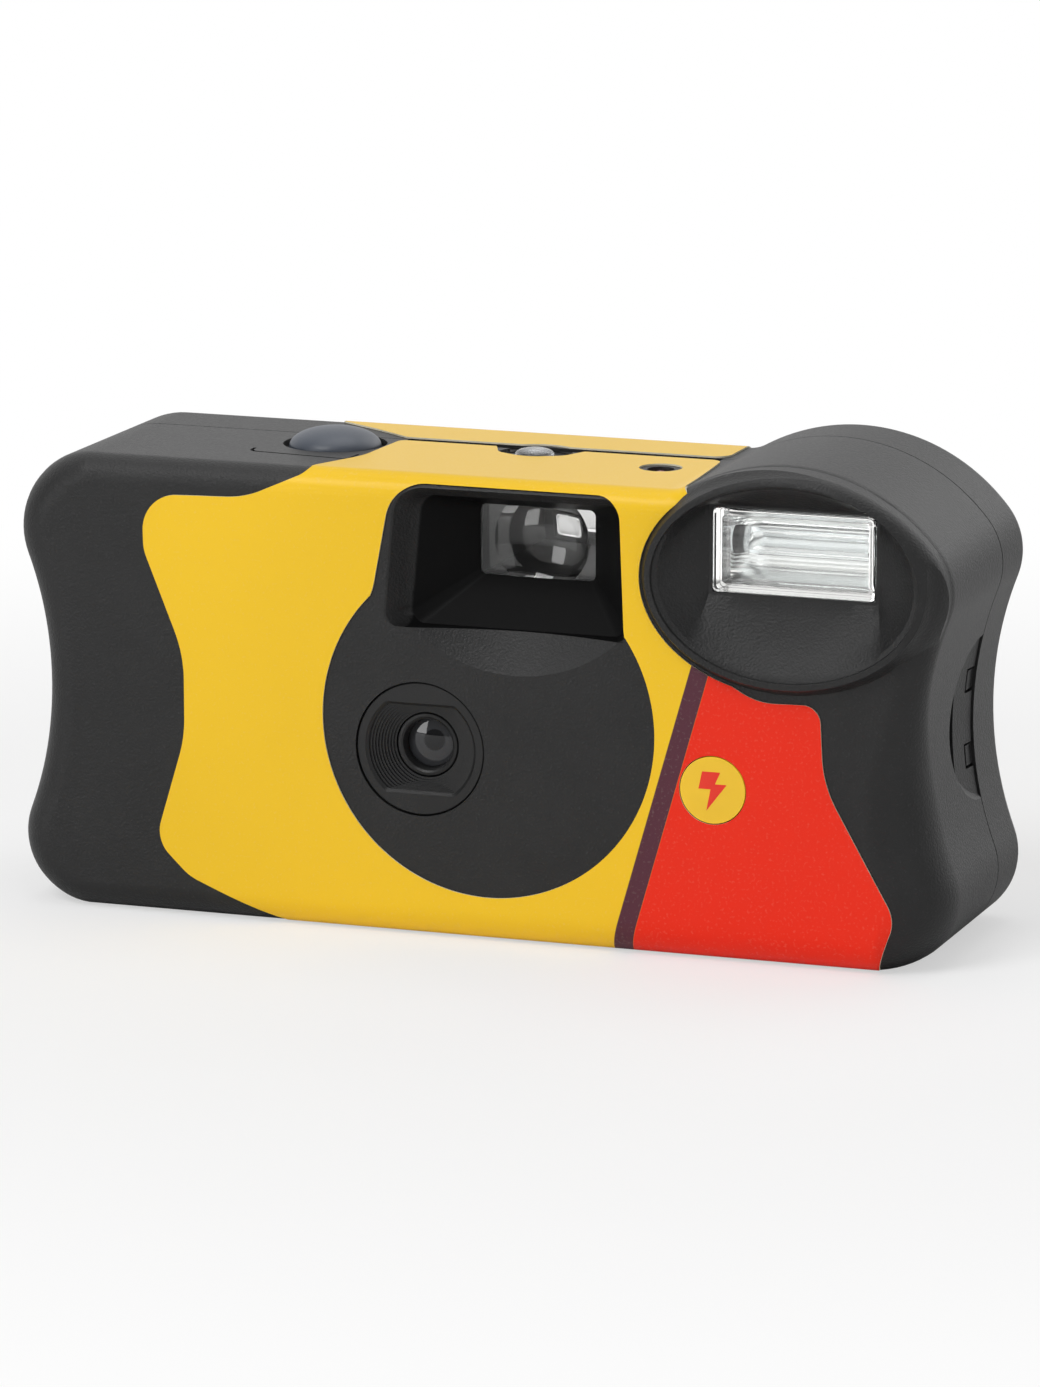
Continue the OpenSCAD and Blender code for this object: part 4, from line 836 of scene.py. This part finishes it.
def build_front_shell(sizes):
    """Front cover: bowl-rimmed flash head, finder hood, wells and notches."""
    wall = sizes.wall / MM
    seam = Y_PART - GAP / 2
    outer = edge_rings(front_radius(sizes), 0.0, Y_FRONT, -1, 12) + [at_y(outline(0), seam)]
    inner = edge_rings(front_radius(sizes), -wall, Y_FRONT, -1, 6) + [at_y(outline(wall), seam)]
    shell = loft("front_shell", outer + inner[::-1])
    head = build_flash_head(sizes)
    combine(shell, prism("head_mouth", rim_ring(0.2), Y_FRONT - 6, Y_FRONT + 3.0))
    merge(combine(shell, head, "UNION"), 0.01)
    sleeve = prism("sleeve", rect(*WINDOW, WINDOW_W + 2.2, WINDOW_H + 1.8, 0.6), -13.0, -11.1)
    combine(sleeve, prism("sleeve_core", rect(*WINDOW, WINDOW_W + 0.2, WINDOW_H + 0.2, 0.6), -14, -10))
    combine(shell, sleeve, "UNION")
    hood_floor = rect(*FINDER, 14.6, 8.6, 0.8, 10)
    hood_back = [at_y(hood_ring(3.4, 2.2, 0.4, 1.2), Y_FRONT + 0.5), at_y(hood_ring(1.2, 1.2, 0.4, 1.2), Y_FRONT + 2.2)]
    combine(shell, loft("hood_back", hood_back + [at_y(rect(*FINDER, 16.6, 10.6, 0.8, 10), FINDER_Y)]), "UNION")
    crescent = arc(SHELF, SHELF_R + 0.8, 220, 320, 40)
    combine(shell, prism("shelf_back", crescent, Y_FRONT + 0.6, Y_FRONT + 3.1), "UNION")
    for at in BOARD_POSTS:
        combine(shell, prism("board_post", circle(at, 1.4, 32), Y_FRONT + wall - 0.2, -13.2), "UNION")
    wide = sizes.hood_lip / MM
    mouth = [at_y(hood_ring(wide * k, wide * 0.5 * k, top, 0.0), Y_FRONT + deep) for k, deep, top in HOOD_MOUTH]
    combine(shell, loft("hood", mouth + [at_y(hood_floor, FINDER_Y), at_y(hood_floor, FINDER_Y + 1.2)]))
    shelf = turned("shelf", SHELF, [(SHELF_R + k, Y_FRONT - 0.45 * k) for k in (1.0, 0.0, -5.2)], 160)
    combine(shelf, block("shelf_limit", -30, 40, -25, 0, 0, LENS[1] + 14.9), "INTERSECT")
    combine(shell, shelf)
    for name, ring in (
        ("lens_bore", circle(LENS, 8.2, 96)), ("flash_button_bore", circle(FLASH_BUTTON, FLASH_BUTTON_R + 0.1, 72)),
    ):
        combine(shell, prism(name, ring, Y_FRONT - 1, Y_FRONT + wall + 1))
    button_wells(shell)
    for name, at, r in (("counter_bore", COUNTER, COUNTER_R - 0.45), ("lamp_bore", LAMP, LAMP_R - 0.35)):
        combine(shell, post(name, at, r, BODY_H - wall - 1, BODY_H + 1))
    top_wells(shell, Y_PART - 1.5)
    for x0, x1 in TOP_SLOTS:
        combine(shell, block("top_latch", x0, x1, Y_PART - 1.2, Y_PART + 1, BODY_H - 3, BODY_H + 1))
    finger_notch(shell)
    for z in SNAPS:
        combine(shell, block("latch", WAIST_X - 4.4, HALF_W, Y_PART - 2.4, Y_PART + 1, z - 1.5, z + 1.5))
    return shell


def finger_notch(cover):
    """Half-round finger notch at the seam of the flash side, its edge sloping in to the floor."""
    rings = []
    for deep, r in NOTCH:
        ring = circle((Y_PART, C_WR[1]), r, 96)
        rings.append([(C_WR[0] - math.sqrt(WAIST_R**2 - (z - C_WR[1]) ** 2) + deep, y, z) for y, z in ring])
    notch = loft("notch", rings)
    combine(notch, loft("notch_floor", [at_y(outline(1.25), Y_PART - 9), at_y(outline(0.2), Y_PART + 0.6)]))
    combine(cover, notch)
    slit = arc((Y_PART, C_WR[1]), 8.2, 134, 226, 30)
    combine(cover, loft("notch_slit", [[(x, y, z) for y, z in slit] for x in (WAIST_X - 3.2, HALF_W)]))


def build_rear_shell(sizes):
    """Rear cover: snap tabs, eyepiece opening and thumbwheel slot."""
    r, wall = sizes.rear_edge / MM, sizes.wall / MM
    seam = Y_PART + GAP / 2
    inner = [at_y(outline(wall + i), Y_REAR - wall - k) for i, k in quarter(1.2, 4)] + [at_y(outline(wall), seam)]
    outer = [at_y(outline(0), seam)] + edge_rings(lambda x, z: r, 0.0, Y_REAR, 1, 10)[::-1]
    shell = loft("rear_shell", inner + outer)
    for z in (LENS[1] - 15, LENS[1] + 15):
        rib = block("film_rib", LENS[0] - 18, LENS[0] + 24, 11.65, Y_REAR - wall + 0.2, z - 0.6, z + 0.6)
        combine(shell, rib, "UNION")
    for z in SNAPS:
        tab = prism("snap_tab", outline(0.5), Y_PART - 1.95, Y_PART + 3)
        combine(tab, prism("tab_back", outline(2.3), Y_PART - 3, Y_PART + 4))
        combine(tab, block("tab_limit", WAIST_X - 4, HALF_W, Y_PART - 3, Y_PART + 4, z - 1.2, z + 1.2), "INTERSECT")
        combine(shell, tab, "UNION")
    button_wells(shell)
    top_wells(shell, Y_PART + 0.5)
    for name, hole in (("eyepiece", (*FINDER, EYE_W, EYE_H)), ("wheel_slot", WHEEL_SLOT)):
        combine(shell, prism(name, rect(*hole, 1.0), Y_REAR - wall - 2, Y_REAR + 1))
    return shell


# Labels


def paper_cut(sheet, tool, operation="DIFFERENCE"):
    """Cuts a label, the new faces taking the paper edge."""
    for face in tool.data.polygons:
        face.material_index = 1
    return combine(sheet, tool, operation)


def label_sheet(name, key, radius, near, sign, lift):
    """Thin sheet wrapped round a cover's face and edges, up to the seam."""
    solids = []
    for k in (lift, 0.004):
        side = at_y(mix_rings(outline(0), outline(0.5), -2 * k), Y_PART)
        solids.append(loft(name, edge_rings(radius, k, near, sign, 9) + [side]))
    sheet = combine(solids[0], solids[1])
    sheet.name = name
    for slot in (key, "paper_edge"):
        sheet.data.materials.append(finish(slot))
    return sheet


def front_label_cut():
    """Front view of the front label, without its openings."""
    left, right, b, rim = -HALF_W, HALF_W, BUTTON[0], RIM[0]
    return rounded([
        (b + 5, BODY_H + 1, 0), (b + 4.4, BODY_H - 0.4, 3), (b - 3.3, BODY_H - 3.8, 12),
        (left + 17.2, BODY_H - 4.2, 4.5), (left + 17.4, BODY_H - 11, 5), (left + 22.5, LENS[1] + 9.4, 16),
        (left + 22.5, LENS[1] - 0.8, 16), (left + 18.6, 9.4, 4), (left + 23, 5.2, 6), (left + 36.5, -0.3, 0),
        (right - 8.6, -0.3, 0), (right - 5.8, 7.2, 4), (right - 14.7, 22.8, 14), (right - 15.2, 32.2, 2.2),
        (rim - 3.6, 32, 8), (rim - 12.5, 37, 0), (rim - 8.5, BODY_H - 3, 0), (rim - 13.2, BODY_H + 0.6, 0),
        (rim - 13.2, BODY_H + 3, 0),
    ], 14)


def build_front_label(sizes):
    """Printed label of the front: die-cut, folded over the top edge and round the foot."""
    r, t = sizes.front_edge / MM, sizes.label_sheet / MM
    near = Y_FRONT + r
    sheet = label_sheet("front_print", "front_label", front_radius(sizes), Y_FRONT, -1, t)
    shape = prism("front_cut", front_label_cut(), Y_FRONT - 2, near)
    b, rim = BUTTON[0], RIM[0]
    top = rounded([
        (b + 4.6, near - 0.01, 0), (rim - 13.4, near - 0.01, 0), (rim - 15.3, Y_PART - 1.6, 1.5),
        (b + 8.4, Y_PART - 1.6, 1), (b + 7.9, -7, 10),
    ])
    combine(shape, slab("fold_cut", top, 20, BODY_H + 5), "UNION")
    foot = prism("foot_part", front_label_cut(), near - 0.02, Y_FRONT + sizes.side_edge / MM)
    combine(foot, block("foot_limit", -70, 70, -25, 20, -5, 14), "INTERSECT")
    combine(shape, foot, "UNION")
    x, z = FINDER[0], LENS[1]
    combine(shape, prism("keyhole", circle((x - 3.45, z + 3.5), 21, 200), Y_FRONT - 3, Y_FRONT + 1))
    hood = rounded([
        (x - 22.3, z + 12.2, 2), (x - 18.1, z + 18.4, 8), (x - 15.5, BODY_H - 0.8, 5), (x + 13, BODY_H - 0.8, 3),
        (x + 13.7, z + 15, 10), (x + 14.9, z + 12, 2), (x - 1.9, z, 0),
    ], 14)
    combine(shape, prism("hood_cut", hood, Y_FRONT - 3, near + 0.02))
    combine(shape, prism("rim_cut", rim_ring(1.1, 0.1, -0.3, -0.3), Y_FRONT - 3, near + 0.02))
    combine(shape, prism("disc_cut", circle(FLASH_BUTTON, FLASH_BUTTON_R + 0.1, 96), Y_FRONT - 3, Y_FRONT + 1))
    combine(shape, block("foot_cut", -70, 70, -25, 20, -5, 0.3))
    paper_cut(sheet, shape, "INTERSECT")
    paper_cut(sheet, post("button_cut", DOME, BUTTON_R + 1.0, BODY_H - 1, BODY_H + 3, 96))
    x = COUNTER[0]
    well = rounded([
        (x - 7.4, Y_PART, 0), (x - 5.6, 4.3, 1.6), (x - 4.2, 0.9, 2.4), (x, -1.3, 4), (x + 4.2, 0.9, 2.4),
        (x + 5.6, 4.3, 1.6), (x + 7.4, Y_PART, 0),
    ])
    paper_cut(sheet, slab("counter_cut", well, BODY_H - 1, BODY_H + 3))
    paper_cut(sheet, post("lamp_cut", LAMP, LAMP_R + 0.6, BODY_H - 1, BODY_H + 3))
    return stand(shade(merge(sheet, WELD), 28.0), "front_label")


def build_rear_label(sizes):
    """Printed label of the back, folded over the top edge."""
    r, t = sizes.rear_edge / MM, sizes.label_sheet / MM
    near = Y_REAR - r
    sheet = label_sheet("rear_print", "rear_label", lambda x, z: r, Y_REAR, 1, t)
    b, left, right = BUTTON[0], BUTTON[0] - 2.8, RIM[0] - 15.4
    face = rounded([(left, 6, 3), (right, 6, 3), (right, BODY_H + 2, 0), (left, BODY_H + 2, 0)])
    shape = prism("rear_cut", face, near - 0.01, Y_REAR + 2)
    fold = rounded([
        (left, near + 0.01, 0), (b + 3, BUTTON[1] + 11, 6), (b + 8.4, Y_PART + 0.6, 0.8), (right, Y_PART + 0.6, 2),
        (right, near + 0.01, 0),
    ])
    combine(shape, slab("rear_fold_cut", fold, 20, BODY_H + 5), "UNION")
    paper_cut(sheet, shape, "INTERSECT")
    paper_cut(sheet, prism("eye_cut", rect(*FINDER, EYE_W + 2.4, EYE_H + 2.4, 1.6), Y_REAR - 2, Y_REAR + 3))
    paper_cut(sheet, post("rear_counter_cut", COUNTER, 5.3, BODY_H - 1, BODY_H + 3))
    paper_cut(sheet, post("rear_button_cut", DOME, BUTTON_R + 1.0, BODY_H - 1, BODY_H + 3, 96))
    paper_cut(sheet, block("rear_panel_cut", b - 8, b + 7.4, Y_PART - 1, BUTTON[1] + 7.2, BODY_H - 1, BODY_H + 3))
    return stand(shade(merge(sheet, WELD), 28.0), "rear_label")


# Lens, flash and controls


# Fine steps down the lens mouth; the front finder lens's face, and the centre, radius and ball of its hollow
BAFFLES = 9
DISH_Y, DISH, DISH_R, DISH_BALL = -9.35, (6.4, 47.9), 6.2, 10


def chord_ring(r, half):
    """Circle round the lens axis, cut flat above and below."""
    return [(LENS[0] + x, LENS[1] + max(-half, min(half, z))) for x, z in circle((0, 0), r, 96)]


def build_lens_ring():
    """Retainer: flat face, chamfered mouth with flat top and foot, fine baffle steps and an inner barrel."""
    face, back = Y_FRONT + 0.2, -13.3
    profile = [(7.95, face), (8.1, face + 0.15), (8.1, Y_FRONT + 1.4), (7.4, Y_FRONT + 1.4), (7.4, back)]
    ring = turned("lens_ring", LENS, profile, 96)
    r, half, y = 6.7, 5.2, face + 0.35
    mouth = [(0.75, face - 1), (0.38, face - 0.02), (0.0, y)]
    mouth = [at_y(chord_ring(r + k, half + k), depth) for k, depth in mouth]
    for _ in range(BAFFLES):
        y += 0.24
        mouth.append(at_y(chord_ring(r, half), y))
        r -= 0.3
        half -= 0.1
        mouth.append(at_y(chord_ring(r, half), y + 0.015))
    mouth += [at_y(chord_ring(4.0, 4.0), y + 0.2), at_y(chord_ring(3.9, 3.9), back + 1)]
    combine(ring, loft("mouth", mouth))
    tube = turned("barrel", LENS, [(3.92, back), (3.92, -14.5), (3.75, -14.75), (3.45, -14.8)], 72)
    bore = [(4.2, -16.0), (3.45, -14.81), (3.2, -14.65), (3.05, -14.3), (2.95, back + 1)]
    combine(tube, turned("barrel_bore", LENS, bore, 72))
    combine(ring, tube, "UNION")
    return ring


def build_finder_lens():
    """Front finder lens: a rounded block with a wide hollow in its face."""
    glass = prism("finder_front", rect(*FINDER, 16.0, 9.6, 0.7), DISH_Y, -7.1)
    turns = [math.asin(0.6) * (1 - i / 18.5) for i in range(19)]
    ball = [(DISH_BALL * math.sin(a), DISH_Y + (DISH_BALL * math.cos(a) - 8)) for a in turns]
    return combine(glass, turned("finder_hollow", DISH, [(DISH_R, -10.5)] + ball, 72))


def build_lens_glass():
    """Taking lens with its domed front."""
    front = [(r, -13.8 + 9 - math.sqrt(9**2 - r * r)) for r in [0.25 + 2.65 * i / 12 for i in range(13)]]
    edge = [(2.92, -13.2), (3.3, -13.1), (4.5, -13.05), (4.5, -11.6), (3.0, -11.35), (1.5, -11.2), (0.25, -11.15)]
    return turned("lens_glass", LENS, front + edge, 64)


def build_counter_dome():
    """Counter lens: flange under the cover, neck and dome."""
    profile = [
        (3.0, 54.5), (3.0, 54.75), (2.45, 54.8), (2.45, 56.0), (2.4, 56.2), (2.2, 56.45), (1.85, 56.65), (1.3, 56.8),
        (0.7, 56.87), (0.2, 56.89),
    ]
    return turned("counter_dome", COUNTER, profile, 64, at_z)


def build_release_dome():
    """Shutter button: its solid's stem under a dome with a soft shoulder."""
    dome = refined("shutter_button", "release_dome")
    combine(dome, block("stem_limit", -60, 20, -40, 40, 40, 54.0), "INTERSECT")
    combine(dome, post("stem_top", (BUTTON[0] + 3.9, BUTTON[1]), 1.1, 53.8, 56.2, 32), "UNION")
    hull = [(5.2, 55.5), (5.62, 55.62)]
    hull += [(5.62 * math.cos(t / 20 * 1.52), 55.9 + 2.4 * math.sin(t / 20 * 1.52)) for t in range(21)]
    combine(dome, turned("hull", DOME, hull, 96, at_z), "UNION")
    return shade(dome, 24.0)


def build_flash_block():
    """Clear flash cover: a cup with thin side walls and a flange behind the bowl's floor."""
    x, z = WINDOW
    w, h = WINDOW_W, WINDOW_H
    rings = [at_y(rect(x, z, w - 2 * i, h - 2 * i, 0.6), -15.5 + k) for i, k in quarter(0.35, 4)]
    cup = loft("flash_block", rings + [at_y(rect(x, z, w, h, 0.6), -11.0)])
    combine(cup, prism("cup_flange", rect(x, z, w + 2, h + 1.6, 0.6), FLANGE_Y + 0.1, -13.1), "UNION")
    combine(cup, prism("cup_hollow", rect(x, z, w - 1.9, h - 1.9, 0.4), -14.2, -10.0))
    return cup


def trough_profile(h, depth, y0, ripple, n):
    """Section of the reflector's trough, with fine ribs along the tube."""
    points = []
    for i in range(n + 1):
        u = 2 * i / n - 1
        points.append((y0 + depth * (1 - u * u) - ripple * (i % 2), h / 2 * u))
    return points


def build_reflector():
    """Ribbed trough behind the window, closed by sloping ends."""
    y0, w, h = -10.9, WINDOW_W - 1.2, WINDOW_H - 1.2
    x, z = WINDOW
    back = trough_profile(WINDOW_H + 1.4, 6.75, y0 + 0.05, 0.0, 32)
    wide = WINDOW_W / 2 + 0.9
    outside = [(y0, -WINDOW_H / 2 - 0.7)] + back + [(y0, WINDOW_H / 2 + 0.7)]
    body = loft("flash_trough", [[(x + k, p[0], z + p[1]) for p in outside] for k in (-wide, wide)])
    combine(body, prism("trough_limit", outline(1.5), Y_FRONT, Y_REAR), "INTERSECT")
    ribs = trough_profile(h, 6.1, y0, 0.16, 44)
    inside = [(y0 - 1, -h / 2)] + ribs + [(y0 - 1, h / 2)]
    ends = ((0.0, 0.62), (0.9, 0.8), (1.9, 0.93), (3.0, 1.0))
    sections = [(-w / 2 + k, scale) for k, scale in ends] + [(w / 2 - k, scale) for k, scale in ends[::-1]]
    layers = [[(x + k, y0 - 1 + (p[0] - y0 + 1) * scale, z + p[1]) for p in inside] for k, scale in sections]
    combine(body, loft("trough", layers))
    rod = circle((FLANGE_Y + 6.4, z), 1.75, 32)
    combine(body, loft("tube_hole", [[(k, p[0], p[1]) for p in rod] for k in (x - 20, x + 20)]))
    return body


def build_bolt():
    """Small bolt sign on the flash button, printed on its face."""
    x, z = FLASH_BUTTON
    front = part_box("flash_button")[0][1] / MM
    sign = [(-1.3, 2.2), (-1.75, 0.1), (-0.25, 0.1), (-0.75, -2.5), (1.75, 0.75), (0.3, 0.75), (0.95, 2.2)]
    return prism("flash_sign", [(x + a, z + b) for a, b in sign], front - 0.02, front + 0.06)


def build_ready_dome():
    """Ready lamp, its top raised a little in its bore."""
    dome = refined("ready_lamp", "ready_dome", 40.0)
    bpy.ops.object.mode_set(mode="EDIT")
    bpy.ops.mesh.select_mode(type="VERT")
    bpy.ops.mesh.select_all(action="DESELECT")
    mesh = bmesh.from_edit_mesh(dome.data)
    for vert in mesh.verts:
        vert.select = vert.co.z > 53.0 * MM
    bmesh.update_edit_mesh(dome.data)
    bpy.ops.transform.translate(value=(0, 0, 0.4 * MM))
    bpy.ops.object.mode_set(mode="OBJECT")
    return dome


# Stage

# Light on the object from the surroundings, and their least show in gloss and glass, from the front
DIM, FRONT_SHOW = 0.15, 0.22
# Area lights: name, place, height aimed at, width, watts
LIGHTS = (
    ("key", (-0.32, -0.72, 0.95), 0.03, 0.55, 6.6),
    ("side", (-0.6, -0.8, 0.2), 0.03, 0.35, 2.0),
    ("fill", (0.8, -0.8, 0.35), 0.03, 0.7, 1.5),
    ("over", (0.05, 0.1, 1.1), 0.03, 0.9, 4.0),
    ("back", (0.5, 0.9, 0.6), 0.04, 0.8, 2.2),
)
# Camera: degrees round and up, distance in metres, focal length and picture height in pixels, point aimed at
VIEW_ROUND, VIEW_UP, VIEW_FAR, FOCAL, PICTURE_H = 19.85, 12.2, 0.855, 7050.0, 1387.0
VIEW_AIM = (0.22, 0.0, 26.93)


def build_floor():
    """Pale paper floor, whiter to the camera away from the object."""
    deselect()
    bpy.ops.mesh.primitive_plane_add(size=6.0)
    floor = bpy.context.object
    floor.name = "stage_floor"
    f = Finish("floor paper")
    grain = f.noise(40.0, 2.0)
    f.set(Base_Color=f.blend(grain, (0.88, 0.88, 0.88), (0.9, 0.9, 0.9)), Roughness=0.75)
    x, y, _ = f.axes()
    far = f.smooth((x * x + y * y) ** 0.5, 0.09, 0.26)
    seen = f.node("ShaderNodeLightPath", out="Is Camera Ray")
    white = f.node("ShaderNodeEmission", None, {"Color": (1.0, 1.0, 1.0), "Strength": 1.0})
    f.mix_in((far * 0.45 + 0.55) * seen, white)
    floor.data.materials.append(f.material)


def build_surroundings(scene):
    """White surroundings: dim on the object, dimmer from the front in gloss, white to the camera and to the trough."""
    scene.world = bpy.data.worlds.new("studio")
    scene.world.use_nodes = True
    nodes, links = scene.world.node_tree.nodes, scene.world.node_tree.links
    rays = nodes.new("ShaderNodeLightPath").outputs
    way = nodes.new("ShaderNodeTexCoord")
    split = nodes.new("ShaderNodeSeparateXYZ")
    links.new(way.outputs["Generated"], split.inputs[0])
    shown = nodes.new("ShaderNodeMapRange")
    for key, value in (("From Min", -0.35), ("From Max", 0.25), ("To Min", FRONT_SHOW), ("To Max", 1.0)):
        shown.inputs[key].default_value = value
    links.new(split.outputs["Y"], shown.inputs["Value"])
    turns, mirrored = (nodes.new("ShaderNodeMath") for _ in range(2))
    turns.operation, mirrored.operation = "MULTIPLY", "GREATER_THAN"
    links.new(rays["Glossy Depth"], turns.inputs[0])
    links.new(rays["Transmission Depth"], turns.inputs[1])
    links.new(turns.outputs[0], mirrored.inputs[0])
    mirrored.inputs[1].default_value = 2.5
    level = None
    for ray, show in (
        (rays["Is Glossy Ray"], shown), (rays["Is Transmission Ray"], shown), (mirrored.outputs[0], None),
        (rays["Is Camera Ray"], None),
    ):
        choice = nodes.new("ShaderNodeMix")
        choice.inputs[2].default_value, choice.inputs[3].default_value = DIM, 1.0
        links.new(ray, choice.inputs[0])
        if level:
            links.new(level, choice.inputs[2])
        if show:
            links.new(show.outputs[0], choice.inputs[3])
        level = choice.outputs[0]
    links.new(level, nodes["Background"].inputs["Strength"])
    nodes["Background"].inputs["Color"].default_value = (1, 1, 1, 1)


def build_lights(scene):
    """Soft area lights round the object."""
    for name, at, aim, wide, watts in LIGHTS:
        light = bpy.data.lights.new(name, "AREA")
        light.size = wide
        light.energy = watts
        lamp = bpy.data.objects.new(name, light)
        scene.collection.objects.link(lamp)
        lamp.location = at
        lamp.rotation_euler = (Vector((0, 0, aim)) - Vector(at)).to_track_quat("-Z", "Y").to_euler()


def build_view(scene):
    """Camera at the photograph's viewing angle."""
    az, el = math.radians(VIEW_ROUND), math.radians(VIEW_UP)
    back = Vector((math.sin(az) * math.cos(el), -math.cos(az) * math.cos(el), math.sin(el)))
    lens = bpy.data.cameras.new("photo view")
    lens.sensor_width = 36.0
    lens.lens = FOCAL / PICTURE_H * lens.sensor_width
    lens.clip_start, lens.clip_end = 0.05, 20.0
    view = bpy.data.objects.new("photo_view", lens)
    scene.collection.objects.link(view)
    view.location = Vector(VIEW_AIM) * MM + back * VIEW_FAR
    view.rotation_euler = (-back).to_track_quat("-Z", "Y").to_euler()
    scene.camera = view


# Operators


def settle_cover(shell, sizes, node, key):
    """Merges, softens and dresses a cover."""
    soften(merge(shell, 0.003, 0.05), sizes.edge_break / MM, 38.0)
    settle(shell, node, 20.0, key)


class CameraOperator:
    """Shared by the operators: one undo step each."""

    bl_options = {"REGISTER", "UNDO"}

    def execute(self, context):
        self.build(context.scene.camera_sizes)
        return {"FINISHED"}


class SCENE_OT_front_shell(CameraOperator, Operator):
    """Build the front cover"""

    bl_idname = "scene.camera_front_shell"
    bl_label = "Front shell"

    def build(self, sizes):
        settle_cover(build_front_shell(sizes), sizes, "front_cover", "cover_plastic")


class SCENE_OT_rear_shell(CameraOperator, Operator):
    """Build the rear cover"""

    bl_idname = "scene.camera_rear_shell"
    bl_label = "Rear shell"

    def build(self, sizes):
        settle_cover(build_rear_shell(sizes), sizes, "rear_cover", "black_plastic")


class SCENE_OT_labels(CameraOperator, Operator):
    """Build the two printed labels"""

    bl_idname = "scene.camera_labels"
    bl_label = "Labels"

    def build(self, sizes):
        build_front_label(sizes)
        build_rear_label(sizes)


class SCENE_OT_lenses(CameraOperator, Operator):
    """Dress the taking lens, its retainer and the finder's lenses"""

    bl_idname = "scene.camera_lenses"
    bl_label = "Lenses"

    def build(self, sizes):
        settle(merge(build_lens_ring(), WELD), "lens_retainer", 28.0, "ring_plastic")
        settle(build_lens_glass(), "taking_lens", 40.0, "lens_plastic")
        settle(merge(build_finder_lens(), WELD), "finder_lens", 25.0, "clear_plastic")
        dress(refined("eyepiece_lens", "finder_rear", 30.0, 0.1), "clear_plastic")
        settle(build_counter_dome(), "counter_lens", 30.0, "counter_plastic")


class SCENE_OT_flash(CameraOperator, Operator):
    """Dress the flash window, its reflector and its tube"""

    bl_idname = "scene.camera_flash"
    bl_label = "Flash unit"

    def build(self, sizes):
        settle(merge(build_flash_block(), WELD), "flash_window", 25.0, "window_plastic")
        settle(merge(build_reflector(), WELD), "flash_reflector", 20.0, "reflector")
        dress(refined("flash_tube", "flash_lamp_tube", 40.0), "tube_glass")
        dress(build_ready_dome(), "lamp")


class SCENE_OT_controls(CameraOperator, Operator):
    """Dress the buttons and the thumbwheel"""

    bl_idname = "scene.camera_controls"
    bl_label = "Controls"

    def build(self, sizes):
        dress(build_release_dome(), "shutter_button")
        dress(refined("flash_button", "flash_disc", 30.0, 0.08), "flash_button")
        sign = dress(build_bolt(), "button_mark")
        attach(sign, BODY_OF["flash_button"])
        dress(refined("thumbwheel", "wind_wheel", 30.0, 0.06), "black_plastic")


class SCENE_OT_inner(CameraOperator, Operator):
    """Finish the pieces inside the covers"""

    bl_idname = "scene.camera_inner"
    bl_label = "Inner pieces"

    def build(self, sizes):
        for part in frame["record"]["subparts"]:
            obj = frame["nodes"].get(part["node"])
            if obj and not obj.hide_render:
                for slot in obj.material_slots:
                    slot.material = finish(part["material_slot"])


class SCENE_OT_stage(CameraOperator, Operator):
    """Set the floor, the lights and the camera"""

    bl_idname = "scene.camera_stage"
    bl_label = "Stage"

    def build(self, sizes):
        scene = bpy.context.scene
        scene.view_settings.view_transform = "Standard"
        build_floor()
        build_surroundings(scene)
        build_lights(scene)
        build_view(scene)


class VIEW3D_PT_camera(Panel):
    """Lists the steps and the sizes"""

    bl_label = "Single-use camera"
    bl_space_type = "VIEW_3D"
    bl_region_type = "UI"
    bl_category = "Camera"

    def draw(self, context):
        for step in STEPS:
            self.layout.operator(step.bl_idname)
        for group in (context.scene.camera_sizes, context.scene.camera_colours):
            for key in group.__annotations__:
                self.layout.prop(group, key)


STEPS = (
    SCENE_OT_front_shell, SCENE_OT_rear_shell, SCENE_OT_labels, SCENE_OT_lenses, SCENE_OT_flash, SCENE_OT_controls,
    SCENE_OT_inner, SCENE_OT_stage,
)
CLASSES = (CameraSizes, CameraColours, *STEPS, VIEW3D_PT_camera)


def register():
    for cls in CLASSES:
        bpy.utils.register_class(cls)
    bpy.types.Scene.camera_sizes = PointerProperty(type=CameraSizes)
    bpy.types.Scene.camera_colours = PointerProperty(type=CameraColours)


def unregister():
    del bpy.types.Scene.camera_sizes
    del bpy.types.Scene.camera_colours
    for cls in reversed(CLASSES):
        bpy.utils.unregister_class(cls)


def main():
    """Builds the whole scene."""
    register()
    for step in STEPS:
        group, name = step.bl_idname.split(".")
        getattr(getattr(bpy.ops, group), name)()


if __name__ == "__main__":
    main()
